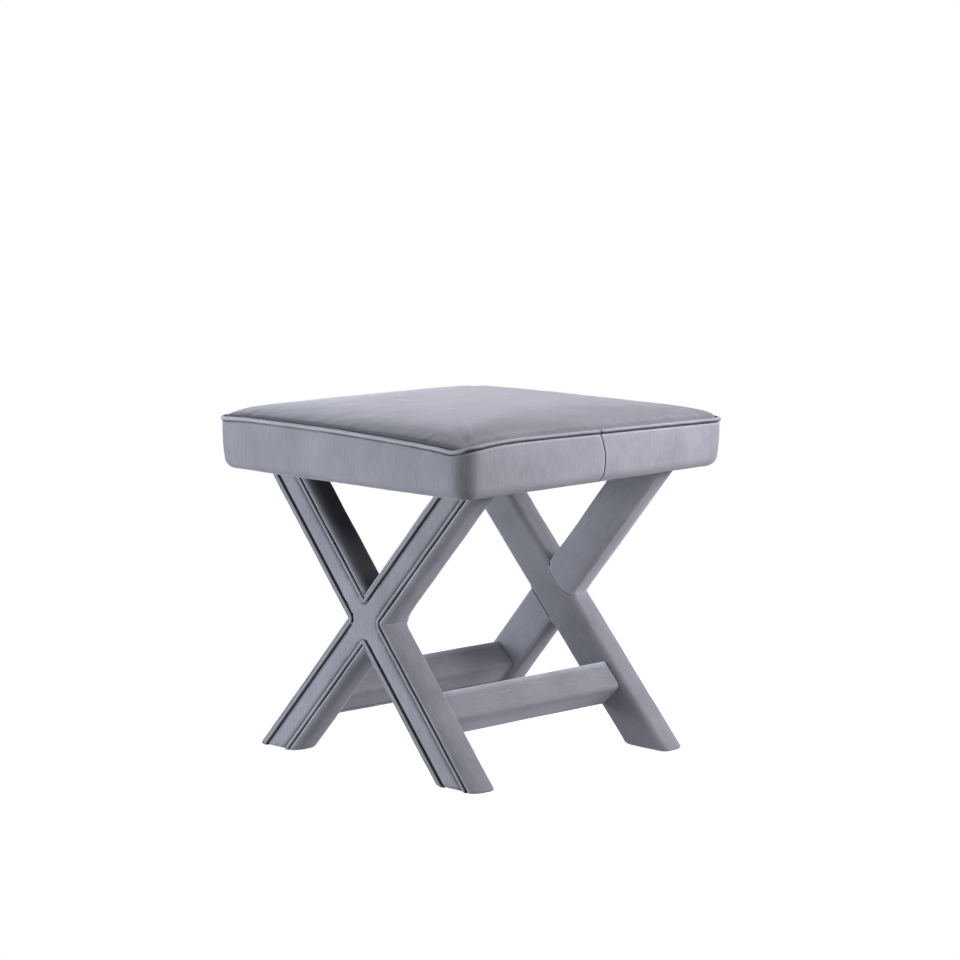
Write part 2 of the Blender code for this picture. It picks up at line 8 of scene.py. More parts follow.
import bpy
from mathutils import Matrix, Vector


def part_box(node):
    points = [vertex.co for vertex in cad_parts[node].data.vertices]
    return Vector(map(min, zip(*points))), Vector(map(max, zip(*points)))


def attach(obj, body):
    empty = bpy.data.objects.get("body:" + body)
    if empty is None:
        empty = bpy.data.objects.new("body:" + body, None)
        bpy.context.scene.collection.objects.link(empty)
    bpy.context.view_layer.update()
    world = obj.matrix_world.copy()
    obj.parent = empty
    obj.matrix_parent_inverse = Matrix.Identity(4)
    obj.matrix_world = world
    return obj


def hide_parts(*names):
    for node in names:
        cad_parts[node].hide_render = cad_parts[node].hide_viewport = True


bl_info = {
    "name": "Velvet bench",
    "version": (1, 0, 0),
    "blender": (4, 5, 0),
    "location": "3D View > Sidebar > Bench",
    "description": "Covers, finishes and stage of an upholstered bench on crossed legs",
    "category": "Object",
}

from itertools import pairwise
from math import asin, cos, exp, hypot, pi, radians, sin, sqrt, tan

import bmesh
import bpy
from bpy.props import FloatProperty, FloatVectorProperty, PointerProperty
from bpy.types import Operator, Panel, PropertyGroup
from mathutils import Matrix, Vector, geometry, kdtree, noise

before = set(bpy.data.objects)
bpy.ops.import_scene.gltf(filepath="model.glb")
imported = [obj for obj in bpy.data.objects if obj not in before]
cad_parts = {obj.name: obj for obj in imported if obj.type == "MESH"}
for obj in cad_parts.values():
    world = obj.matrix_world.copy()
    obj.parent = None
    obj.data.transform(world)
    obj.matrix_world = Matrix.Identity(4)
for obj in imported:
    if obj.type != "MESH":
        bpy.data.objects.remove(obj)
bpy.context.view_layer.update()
BAND_LOW, BAND_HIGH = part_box("boxing_band_left")
PIPING_LOW, PIPING_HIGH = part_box("seat_welt")
PIPING_HEIGHT = (PIPING_LOW.z + PIPING_HIGH.z) / 2
COVER_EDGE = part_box("seat_top_panel")[1].x
PAD_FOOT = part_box("seat_foam")[0].z
WRAP_LOW, WRAP_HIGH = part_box("leg_a_wrap_left")

SIDES = {"left": -1, "right": 1}
ENDS = {"front": -1, "back": 1}
LEAN_A, LEAN_B = 1, -1

# Corners of the cross: quarter turns from upright, then for both arms the leg,
# which edge of it, and whether the arm ends at the top
VEES = {
    "top": (0, (LEAN_A, -1, True), (LEAN_B, 1, True)),
    "front": (3, (LEAN_B, -1, True), (LEAN_A, -1, False)),
    "bottom": (2, (LEAN_A, 1, False), (LEAN_B, -1, False)),
    "back": (1, (LEAN_B, 1, False), (LEAN_A, 1, True)),
}
VEE_BENDS = {"top": 0.0028, "front": 0.012, "bottom": 0.005, "back": 0.006}

FRONT_SEAM = 0.008  # x of the seam in the front of the side band
SEAM_REACH = 0.09  # the cloth is slack as far as this from the seam
BAND_FOLD = 0.0011  # depth of the fold at the band's corners
BAND_FOLD_WIDTH = 0.0045
PIPING_JOINT = -0.0022  # x of the joint in the seat piping
JOINT_GAP = 0.0002
AIR_PRESSURE = 4.0  # fills the cushion
SWELL_FRAMES = 20
SWELL_CAP = 0.0035
PIPING_COVER = 0.006  # depth under the seat piping at which the cushion is hidden
CLOTH = 0.0012  # thickness of the covers
TUCK = 0.0045  # depth at which a cover goes into a crease
ROLL = 0.0021  # edge of a cover beside the piping
FIRM_EDGE = 0.002  # inner edge of leg A where leg B butts on it
TOE_ROUND = 0.0035
TOE_DROP = 0.0017  # the hem lies this far under the wood
HEM_TURN = 0.009  # cloth turned under a foot
LAP_LINE = 0.0203  # upper lap of leg B, from the middle of leg A
LAP_ROUND = 0.010
LAP_LOW, LAP_HIGH = -0.0267, 0.024  # where the lap's edge starts and ends on the inner face
LAP_RAISE = 0.0022
WAIST = 0.011  # cloth bridges the front corner of the cross up to this height
BUTT_LINE = 0.0265  # lower butt of leg B, from the middle of leg A
OVERLAP = 0.0016  # covers reach past each other where the legs meet
PIPING_PROUD = 0.0015  # how far the piping stands out of the covers beside it
PIPING_GAP = 0.0003  # between the face piping and the covers beside it
CREASE_SHADE = 0.05  # painted shade: how light the pile is painted deep in a crease
WHITE = (1.0, 1.0, 1.0, 1.0)
ROW_PITCH = 0.004
LIT_FROM = Vector((0, 1, 0))  # the painted light comes from this side, so creases on the other side are painted darker


# Sizes and colours that a user would change

def length(name, description, default):
    return FloatProperty(name=name, description=description, default=default, unit="LENGTH")


def slant(name, description, default):
    return FloatProperty(name=name, description=description, default=radians(default), subtype="ANGLE")


def tint(name, description, default):
    limits = {"min": 0.0, "max": 1.0}
    return FloatVectorProperty(name=name, description=description, default=default, subtype="COLOR", **limits)


def watts(name, lights, default):
    return FloatProperty(name=name, description=f"Power of the lights {lights}, in watts", default=default)


class BenchSizes(PropertyGroup):
    """Sizes of the seat, legs and stretchers."""

    seat_edge: length("Seat edge", "From the middle of the seat to its side band, at the piping", -BAND_LOW.x)
    seat_flare: length("Flare", "How far the side band leans out from its lower edge to the piping", 0.003)
    seat_corner: length("Seat corner", "Corner radius at the band's lower edge", 0.0248)
    underside: length("Underside", "Height of the seat's underside over the floor", BAND_LOW.z)
    band_height: length("Band height", "Height of the side band, up to the piping", BAND_HIGH.z - BAND_LOW.z)
    hem_round: length("Hem radius", "Radius of the band's lower edge", 0.015)
    piping: length("Piping", "Diameter of all the piping", PIPING_HIGH.z - PIPING_LOW.z)
    corner_dip: length("Corner dip", "Drop of the piping on the front side towards the front corner", 0.0055)
    shoulder_rise: length("Shoulder", "Rise of the top from the piping to its shoulder", 0.0155)
    crown_rise: length("Crown", "Rise of the top from its shoulder to the middle", 0.0075)
    cross_height: length("Crossing", "Height at which the legs cross", 0.196)
    frame_face: length("Frame face", "From the middle to a frame's outer face, at the crossing", 0.193)
    frame_splay: slant("Splay", "Angle at which the frames lean outwards on the way down", 1.72)
    leg_angle: slant("Leg angle", "Angle between a leg and the floor", 48.0)
    leg_width: length("Leg width", "Widest width of a leg, square to it", 0.0594)
    leg_thick: length("Leg thickness", "Thickness of a frame", 0.042)
    leg_round: length("Leg edge", "Radius of a leg's edges on the inner face", 0.0097)
    leg_shoulder: length("Leg shoulder", "Depth over which a leg swells to its full width", 0.021)
    face_width: length("Face width", "Width of a leg's outer face over its piping", 0.0404)
    stretcher_side: length("Stretcher", "Side of a stretcher's square section", 0.0432)
    stretcher_height: length("Stretcher height", "Height of the stretchers' middle over the floor", 0.0815)
    stretcher_round: length("Stretcher edge", "Radius of a stretcher's edges", 0.0065)


class BenchColours(PropertyGroup):
    """Colours of the cloth and of the parts under it."""

    velvet: tint("Velvet", "Cloth of the seat, legs and stretchers", (0.300, 0.307, 0.364))
    beech: tint("Beech", "Wood of the legs, rails and stretchers", (0.56, 0.37, 0.20))
    plywood: tint("Plywood", "Deck under the seat pad", (0.60, 0.44, 0.27))
    cambric: tint("Cambric", "Dust cover under the seat", (0.018, 0.018, 0.019))
    felt: tint("Felt", "Pads under the feet", (0.045, 0.044, 0.043))
    steel: tint("Steel", "Screws", (0.56, 0.57, 0.58))


class BenchStage(PropertyGroup):
    """Lights of the stage."""

    front_power: watts("Front lights", "close to the front of the seat", 3.9)
    right_power: watts("Right lights", "at the right", 26.2)
    left_power: watts("Left lights", "low at the left", 18.9)
    back_power: watts("Back lights", "behind the bench", 9.5)
    room_light: FloatProperty(
        name="Room light",
        description="Brightness of the room on the bench, where 1 is white",
        default=0.0,
        min=0.0,
    )


def sizes():
    return bpy.context.scene.bench_sizes


def colours():
    return bpy.context.scene.bench_colours


# Numbers

def blend(start, end, share):
    return start + (end - start) * share


def smooth_step(value, low, high):
    """Smooth rise from 0 to 1 between two values."""
    share = min(1.0, max(0.0, (value - low) / (high - low)))
    return share * share * (3 - 2 * share)


def near(value, reach):
    """1 at zero, falling away on both sides over the reach."""
    return exp(-((value / reach) ** 2))


def lump(point, size):
    """Soft noise between -1 and 1, with lumps of the given size."""
    return noise.noise(Vector(point) / size)


def arc(centre, radii, start, end, steps):
    """Points of an elliptical arc in a plane."""
    turns = [blend(start, end, step / steps) for step in range(steps + 1)]
    return [(centre[0] + radii[0] * cos(turn), centre[1] + radii[1] * sin(turn)) for turn in turns]


def shares(count):
    return [step / count for step in range(count + 1)]


def shares_near_start(count):
    """Shares from 0 to 1 that stand close together at the start."""
    close = [0, 0.0025, 0.005, 0.0085, 0.013, 0.019]
    return close + [blend(0.027, 1, share) for share in shares(count)]


def walk(points, pitch):
    """Points at an even pitch along a line of points."""
    points = [Vector(point) for point in points]
    lengths = [0.0]
    for start, end in pairwise(points):
        lengths.append(lengths[-1] + (end - start).length)
    count = max(2, round(lengths[-1] / pitch))
    walked, leg = [], 0
    for share in shares(count):
        distance = share * lengths[-1]
        while leg < len(points) - 2 and lengths[leg + 1] < distance:
            leg += 1
        span = lengths[leg + 1] - lengths[leg]
        walked.append(points[leg].lerp(points[leg + 1], (distance - lengths[leg]) / span))
    return walked


# Meshes

def cloth_from(columns, rows, place):
    """Grid of cloth laid out by place(column, row), with its UV map in metres."""
    across, along = len(columns) - 1, len(rows) - 1
    bm = bmesh.new()
    bmesh.ops.create_grid(bm, x_segments=across, y_segments=along, size=0.5)
    spots = {}
    for vert in bm.verts:
        spot = round((vert.co.x + 0.5) * across), round((vert.co.y + 0.5) * along)
        spots[vert] = spot
        vert.co = place(columns[spot[0]], rows[spot[1]])
    places = {spot: vert.co for vert, spot in spots.items()}
    lengths = [0.0], [0.0]
    for column in range(across):
        step = places[column + 1, along // 2] - places[column, along // 2]
        lengths[0].append(lengths[0][-1] + step.length)
    for row in range(along):
        step = places[across // 2, row + 1] - places[across // 2, row]
        lengths[1].append(lengths[1][-1] + step.length)
    layer = bm.loops.layers.uv.new("Cloth")
    for face in bm.faces:
        for loop in face.loops:
            column, row = spots[loop.vert]
            loop[layer].uv = lengths[0][column], lengths[1][row]
    return bm


def tree_of(points):
    """Tree that finds the nearest of some points."""
    tree = kdtree.KDTree(len(points))
    for index, point in enumerate(points):
        tree.insert(point, index)
    tree.balance()
    return tree


def slice_faces(bm, faces, normal, offset):
    """Divide some faces along a plane at an offset from the origin."""
    edges = {edge for face in faces for edge in face.edges}
    verts = {vert for face in faces for vert in face.verts}
    geom = [*verts, *edges, *faces]
    bmesh.ops.bisect_plane(bm, geom=geom, plane_co=normal * offset, plane_no=normal)


def close_up(bm):
    """Fill the open ends of a shape and turn its faces outwards."""
    bmesh.ops.holes_fill(bm, edges=[edge for edge in bm.edges if edge.is_boundary])
    bmesh.ops.recalc_face_normals(bm, faces=bm.faces)


def turn_out(bm, inside):
    """Turn the faces away from inside(point), a point in the middle of the shape."""
    bm.normal_update()
    outward = 0.0
    for face in bm.faces:
        middle = face.calc_center_median()
        outward += face.normal.dot(middle - inside(middle)) * face.calc_area()
    if outward < 0:
        bmesh.ops.reverse_faces(bm, faces=bm.faces)
    bm.normal_update()


def ripple(bm, waves):
    """Move every point along its normal by soft noise of (height, size) waves."""
    bm.normal_update()
    for vert in bm.verts:
        rise = sum(height * lump(vert.co, size) for height, size in waves)
        vert.co += vert.normal * rise


def lay_painted_light(bm, painted_lightness):
    """Store the painted light and shade at each point, as a share of the velvet's colour."""
    layer = bm.verts.layers.float.get("PaintedLight")
    first = layer is None
    if first:
        layer = bm.verts.layers.float.new("PaintedLight")
    for vert in bm.verts:
        vert[layer] = painted_lightness(vert) * (1.0 if first else vert[layer])


def crease(distance, reach, strength=1.0):
    """Painted light beside a crease: painted shade in it, then a painted highlight where it rolls out."""
    dark = (1 - CREASE_SHADE) * near(distance, reach)
    return 1 + strength * (0.3 * near(distance - 2.3 * reach, 0.8 * reach) - dark)


def tuck_edges(bm, depth, reach):
    """Round the open edges of a cloth inwards, as along a sewn or folded edge, with painted shade and a
    painted highlight along them.
    """
    bm.normal_update()
    points = []
    for edge in bm.edges:
        if edge.is_boundary:
            start, end = [vert.co for vert in edge.verts]
            count = max(1, round((end - start).length / (reach / 3)))
            points += [start.lerp(end, share) for share in shares(count)]
    tree = tree_of(points)
    lay_painted_light(bm, lambda vert: crease(tree.find(vert.co)[2], reach))
    moves = [-vert.normal * depth * near(tree.find(vert.co)[2], reach) for vert in bm.verts]
    for vert, move in zip(bm.verts, moves, strict=True):
        vert.co += move


def cord(path, radius, around, light):
    """Closed round cord along (middle, first axis, second axis, share of radius) places.

    It has a painted highlight where it faces light, a function of the place on the path, and
    painted shade on the other side, in the crease.
    """
    turns = [2 * pi * share for share in shares(around)]

    def place(turn, spot):
        middle, first, second, share = spot
        return middle + (first * cos(turn) + second * sin(turn)) * radius * share

    bm = cloth_from(turns, path, place)
    tree = tree_of([spot[0] for spot in path])

    def painted_lightness(vert):
        spot = path[tree.find(vert.co)[1]]
        facing = (vert.co - spot[0]).normalized().dot(light(spot))
        return blend(CREASE_SHADE, 0.95, smooth_step(facing, -0.35, 0.5)) + 0.6 * smooth_step(facing, 0.55, 0.95)

    lay_painted_light(bm, painted_lightness)
    bmesh.ops.remove_doubles(bm, verts=bm.verts, dist=0.000001)
    close_up(bm)
    return bm


def add_cover(name, bm, *nodes):
    """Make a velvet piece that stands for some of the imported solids."""
    mesh = bpy.data.meshes.new(name)
    bm.to_mesh(mesh)
    bm.free()
    mesh.shade_smooth()
    mesh.materials.append(bpy.data.materials.get("Velvet") or velvet_material())
    piece = bpy.data.objects.new(name, mesh)
    bpy.context.scene.collection.objects.link(piece)
    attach(piece, "root")
    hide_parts(*nodes)
    return piece


def thicken(piece):
    wall = piece.modifiers.new("Cloth", "SOLIDIFY")
    wall.thickness = CLOTH
    wall.offset = -1


def subdivide(piece):
    smooth = piece.modifiers.new("Smooth", "SUBSURF")
    smooth.levels = 1
    smooth.render_levels = 1


# Finishes

class Nodes:
    """Adds linked nodes to a node tree."""

    def __init__(self, tree):
        self.tree = tree

    def fill(self, node, inputs):
        """Give each named input of a node its value, or link it to a socket."""
        for key, value in inputs.items():
            if isinstance(value, bpy.types.NodeSocket):
                self.tree.links.new(value, node.inputs[key])
            else:
                node.inputs[key].default_value = value

    def add(self, kind, inputs, **settings):
        """The outputs of a new node."""
        node = self.tree.nodes.new(f"ShaderNode{kind}")
        for key, value in settings.items():
            setattr(node, key, value)
        self.fill(node, inputs)
        return node.outputs

    def math(self, operation, *values):
        return self.add("Math", dict(enumerate(values)), operation=operation)[0]

    def noise(self, vector, scale, detail, roughness=0.5):
        inputs = {"Vector": vector, "Scale": scale, "Detail": detail, "Roughness": roughness}
        return self.add("TexNoise", inputs)["Fac"]

    def seen(self):
        """1 for the camera and in reflections, 0 for the light that falls on the bench."""
        rays = self.add("LightPath", {})
        return self.math("MAXIMUM", rays["Is Camera Ray"], rays["Is Glossy Ray"])


class Finish(Nodes):
    """A new material of one colour, with nodes to vary it."""

    def __init__(self, name, colour, roughness):
        old = bpy.data.materials.get(name)
        if old:
            bpy.data.materials.remove(old)
        self.material = bpy.data.materials.new(name)
        self.material.use_nodes = True
        super().__init__(self.material.node_tree)
        self.colour = (*colour, 1.0)
        self.set({"Base Color": self.colour, "Roughness": roughness})
        self.place = self.add("TexCoord", {})["Object"]

    def set(self, inputs):
        self.fill(self.tree.nodes["Principled BSDF"], inputs)

    def stretched(self, vector, scale):
        return self.add("Mapping", {"Vector": vector, "Scale": scale})[0]

    def shade(self, share):
        """Make the colour lighter or darker by a share of it."""
        self.set({"Base Color": self.add("HueSaturation", {"Color": self.colour, "Value": share})["Color"]})

    def emboss(self, height, strength, distance):
        relief = {"Strength": strength, "Distance": distance, "Height": height}
        self.set({"Normal": self.add("Bump", relief)["Normal"]})


def velvet_material():
    """Grey-blue velvet: brushed pile with streaks, soft patches and a bright sheen."""
    finish = Finish("Velvet", colours().velvet, 0.85)
    sheen = {"Sheen Weight": 0.55, "Sheen Roughness": 0.35, "Sheen Tint": (0.86, 0.88, 1.0, 1.0)}
    finish.set({"Specular IOR Level": 0.15, **sheen})
    cloth = finish.add("UVMap", {}, uv_map="Cloth")["UV"]
    patches = finish.noise(finish.place, 16.0, 3.0, 0.55)
    streaks = finish.noise(finish.stretched(cloth, (330.0, 42.0, 1.0)), 1.0, 3.0, 0.6)
    pile = finish.noise(finish.place, 900.0, 2.0, 0.6)
    share = finish.math("MULTIPLY_ADD", patches, 0.50, 0.37)
    share = finish.math("MULTIPLY_ADD", streaks, 0.42, share)
    share = finish.math("MULTIPLY_ADD", pile, 0.34, share)
    # The painted light and shade laid on each piece scale the colour
    painted_light_share = finish.add("Attribute", {}, attribute_name="PaintedLight")["Fac"]
    finish.shade(finish.math("MULTIPLY", share, painted_light_share))
    finish.set({"Roughness": finish.math("MULTIPLY_ADD", streaks, 0.2, 0.76)})
    finish.emboss(finish.math("MULTIPLY_ADD", streaks, 0.7, pile), 0.35, 0.0006)
    return finish.material


def wood_material(name, colour, stretch, crossing=-1.0):
    """Bare wood with long grain, nearly black round the height where covered legs cross.

    Stretch turns the grain along one axis.
    """
    finish = Finish(name, colour, 0.6)
    lines = finish.noise(finish.stretched(finish.place, stretch), 1.0, 5.0, 0.65)
    flat = finish.add("VectorMath", {0: finish.place, 1: (0, 1, 1)}, operation="MULTIPLY")[0]
    away = finish.add("VectorMath", {0: flat, 1: (0, 0, crossing)}, operation="DISTANCE")["Value"]
    bare = finish.add("MapRange", {"Value": away, "From Min": 0.05, "From Max": 0.06, "To Min": 0.03})[0]
    finish.shade(finish.math("MULTIPLY", finish.math("MULTIPLY_ADD", lines, 0.7, 0.62), bare))
    finish.emboss(lines, 0.2, 0.0004)
    return finish.material


def woven_material(name, colour, threads):
    """Thin woven or pressed cloth, with a fine thread pattern."""
    finish = Finish(name, colour, 0.9)
    thread = finish.noise(finish.place, threads, 2.0)
    finish.shade(finish.math("MULTIPLY_ADD", thread, 1.2, 0.4))
    finish.emboss(thread, 0.4, 0.0004)
    return finish.material


def steel_material():
    """Zinc-plated steel with a slightly cloudy finish."""
    finish = Finish("Steel", colours().steel, 0.35)
    clouds = finish.noise(finish.place, 300.0, 3.0)
    finish.set({"Metallic": 1.0, "Roughness": finish.math("MULTIPLY_ADD", clouds, 0.3, 0.2)})
    return finish.material


# Seat

class SeatRim:
    """The seat's round-cornered square, walked from its front seam towards +X.

    The seat is sewn unevenly, so its piping and its lower edge tilt and bow on each side.
    """

    left_tilt, left_bow, left_ends = -0.0038, 0.0036, 0.0015
    front_tilt, front_rise = 0.0023, 0.0004
    far_dip = 0.0015
    hem_sag, hem_tilt = 0.0022, 0.0023

    def __init__(self, seam_x):
        self.size = sizes()
        self.half = self.size.seat_edge - self.size.seat_flare
        self.straight = self.half - self.size.seat_corner
        bend = self.size.seat_corner * pi / 2
        run = 2 * self.straight
        self.runs = [self.straight - seam_x, bend, run, bend, run, bend, run, bend, self.straight + seam_x]
        self.seam_x = seam_x
        self.length = sum(self.runs)
        self.back_seam = sum(self.runs[:4]) + self.straight - seam_x

    def at(self, distance):
        """Plan point and outward normal at a distance along the rim."""
        distance = min(max(distance, 0.0), self.length)
        index = 0
        while index < len(self.runs) - 1 and distance > self.runs[index]:
            distance -= self.runs[index]
            index += 1
        straight, corner = self.straight, self.size.seat_corner
        if index % 2:
            turn = distance / corner
            normal = Vector((sin(turn), -cos(turn)))
            point = Vector((straight, -straight)) + normal * corner
        else:
            normal = Vector((0, -1))
            start = self.seam_x if index == 0 else -straight
            point = Vector((start + distance, -self.half))
        spin = Matrix.Rotation(index // 2 * pi / 2, 2)
        return spin @ point, spin @ normal

    def shares_at(self, x, y):
        """Where a point lies between the corners, from -1 to 1 both ways."""
        return [max(-1.0, min(1.0, along / self.straight)) for along in (x, y)]

    def dip(self, x, y):
        """How far the piping is drawn down at a point near the rim."""
        along_x, along_y = self.shares_at(x, y)
        left = self.left_tilt * along_y + self.left_bow * along_y**2 + self.left_ends * along_y**8
        front = self.front_tilt * along_x - self.front_rise
        front += self.size.corner_dip * max(0.0, -along_x) ** 6
        corner = self.size.seat_corner
        turned = smooth_step(abs(x) - abs(y), -corner, corner)
        return blend(front if y < 0 else self.far_dip, left if x < 0 else self.far_dip, turned)

    def sag(self, x, y):
        """How far the band's lower edge hangs down, most on the left."""
        return self.hem_sag - self.hem_tilt * self.shares_at(x, y)[0]


def band_profile(size):
    """The side band as (out, up): turned under, round lower edge, side, tucked top."""
    turned, swell = 0.0055, 0.0011
    tuck_in, tuck_up = 0.0016, 0.0009
    points = [(-size.hem_round - turned, 0.0), (-size.hem_round - turned / 2, 0.0)]
    points += arc((-size.hem_round, size.hem_round), (size.hem_round, size.hem_round), -pi / 2, 0, 9)
    side = size.band_height - size.hem_round
    for share in shares(14)[1:]:
        bulge = swell * sin(pi * share)
        points.append((size.seat_flare * share + bulge, size.hem_round + side * share))
    return points + [(size.seat_flare - tuck_in, size.band_height + tuck_up)]


def seam_bow(up):
    """The front seam runs in a slack curve; its x from the seam line at a height."""
    foot, lean, bow, height = -0.0025, 0.0082, 0.0066, 0.063
    share = min(1.0, max(0.0, up / height))
    return foot - lean * share + bow * sin(pi * share)


class BENCH_OT_side_band(Operator):
    """Make the two lengths of the seat's side band"""

    bl_idname = "bench.side_band"
    bl_label = "Side band"

    def execute(self, context):
        rim = SeatRim(FRONT_SEAM)
        spans = {"right": (0.0, rim.back_seam), "left": (rim.back_seam, rim.length)}
        for side, (start, end) in spans.items():
            self.make(rim, side, start, end)
        return {"FINISHED"}

    def make(self, rim, side, start, end):
        size = rim.size
        close = [0.0, 0.0004, 0.0009, 0.0016, 0.0026, 0.004]
        margin = 0.006
        count = round((end - start) / ROW_PITCH)
        columns = [start + step for step in close]
        columns += [blend(start + margin, end - margin, share) for share in shares(count)]
        columns += [end - step for step in close[::-1]]

        def place(distance, spot):
            out, up = spot
            point, normal = rim.at(distance)
            if point.y < 0:
                from_seam = min(distance, rim.length - distance)
                point.x += seam_bow(up) * max(0.0, 1 - from_seam / SEAM_REACH)
            corner = min(abs(point.x), abs(point.y)) / rim.straight
            fold = near(abs(point.x) - abs(point.y), BAND_FOLD_WIDTH) * smooth_step(corner, 0.9, 1.0)
            out -= BAND_FOLD * fold * smooth_step(up, 0.022, 0.05)
            share = up / size.band_height
            drop = rim.dip(point.x, point.y) * share**2
            drop += rim.sag(point.x, point.y) * max(0.0, 1 - share) ** 2
            plan = point + normal * out
            return Vector((plan.x, plan.y, size.underside + up - drop))

        bm = cloth_from(columns, band_profile(size), place)
        turn_out(bm, lambda middle: Vector((0, 0, size.underside + 0.03)))
        ripple(bm, [(0.0005, 0.05), (0.0002, 0.016)])
        tuck_edges(bm, depth=0.0011, reach=0.0009)
        layer = bm.verts.layers.float["PaintedLight"]
        for vert in bm.verts:
            x, y = abs(vert.co.x), abs(vert.co.y)
            # Painted shade in the crease under the piping is weaker on the left and right
            top = smooth_step(vert.co.z, BAND_HIGH.z - 0.008, BAND_HIGH.z - 0.005)
            flank = smooth_step(x - y, -0.02, 0.02)
            vert[layer] = blend(vert[layer], 1.0, 0.6 * top * flank)
            # Painted shade round the corners
            corner = smooth_step(min(x, y), rim.straight - 0.02, rim.straight)
            vert[layer] *= 1 - 0.24 * near(x - y, 0.02) * corner
        band = add_cover(f"side_band_{side}", bm, f"boxing_band_{side}")
        thicken(band)


class BENCH_OT_seat_piping(Operator):
    """Make the piped cord round the top of the seat, with its joint over the front seam"""

    bl_idname = "bench.seat_piping"
    bl_label = "Seat piping"

    def execute(self, context):
        rim = SeatRim(PIPING_JOINT)
        size = rim.size
        pitch = 0.003
        out = size.seat_flare + PIPING_PROUD - size.piping / 2
        path = []
        for share in shares(round(rim.length / pitch)):
            distance = blend(JOINT_GAP, rim.length - JOINT_GAP, share)
            point, normal = rim.at(distance)
            middle = point + normal * out
            rise = -rim.dip(middle.x, middle.y)
            rise += 0.0007 * lump((*middle, 0.0), 0.07) + 0.0003 * lump((*middle, 1.0), 0.02)
            push = 0.0004 * lump((*middle, 2.0), 0.03)
            swell = 1 + 0.07 * lump((*middle, 3.0), 0.012)
            end = min(distance, rim.length - distance) - JOINT_GAP
            swell *= 1 - 0.35 * near(end, 0.0012)
            middle = (middle + normal * push).to_3d()
            middle.z = PIPING_HEIGHT + rise
            path.append((middle, normal.to_3d(), Vector((0, 0, 1)), swell))
        bm = cord(path, size.piping / 2, 16, self.light)
        add_cover("seat_piping", bm, "seat_welt")
        return {"FINISHED"}

    def light(self, spot):
        """Where the painted highlight lies: all over the cord on the left and right, only on its top at the
        front and back.
        """
        out, up = spot[1], spot[2]
        turned = smooth_step(abs(out.x) - abs(out.y), -0.3, 0.3)
        return out * blend(0.0, 0.88, turned) + up * blend(1.0, 0.48, turned)


def swell_cushion(piece, pinned, pressure, cap):
    """Fill a cover with air as cloth, and scale the swelling down to the cap."""
    scene = bpy.context.scene
    starts = [vert.co.copy() for vert in piece.data.vertices]
    group = piece.vertex_groups.new(name="Sewn")
    group.add([vert.index for vert in piece.data.vertices if pinned(vert.co)], 1.0, "REPLACE")
    cloth = piece.modifiers.new("Filling", "CLOTH")
    cloth.settings.effector_weights.gravity = 0.0
    values = {
        "quality": 5,
        "mass": 0.3,
        "tension_stiffness": 40.0,
        "compression_stiffness": 40.0,
        "shear_stiffness": 20.0,
        "bending_stiffness": 1.0,
        "use_pressure": True,
        "uniform_pressure_force": pressure,
        "vertex_group_mass": group.name,
    }
    for name, value in values.items():
        setattr(cloth.settings, name, value)
    for frame in range(1, SWELL_FRAMES + 1):
        scene.frame_set(frame)
    graph = bpy.context.evaluated_depsgraph_get()
    settled = [vert.co.copy() for vert in piece.evaluated_get(graph).data.vertices]
    piece.modifiers.remove(cloth)
    scene.frame_set(1)
    moves = [end - start for start, end in zip(starts, settled, strict=True)]
    share = min(1.0, cap / max(move.length for move in moves))
    for vert, start, move in zip(piece.data.vertices, starts, moves, strict=True):
        vert.co = start + move * share
    piece.vertex_groups.remove(group)


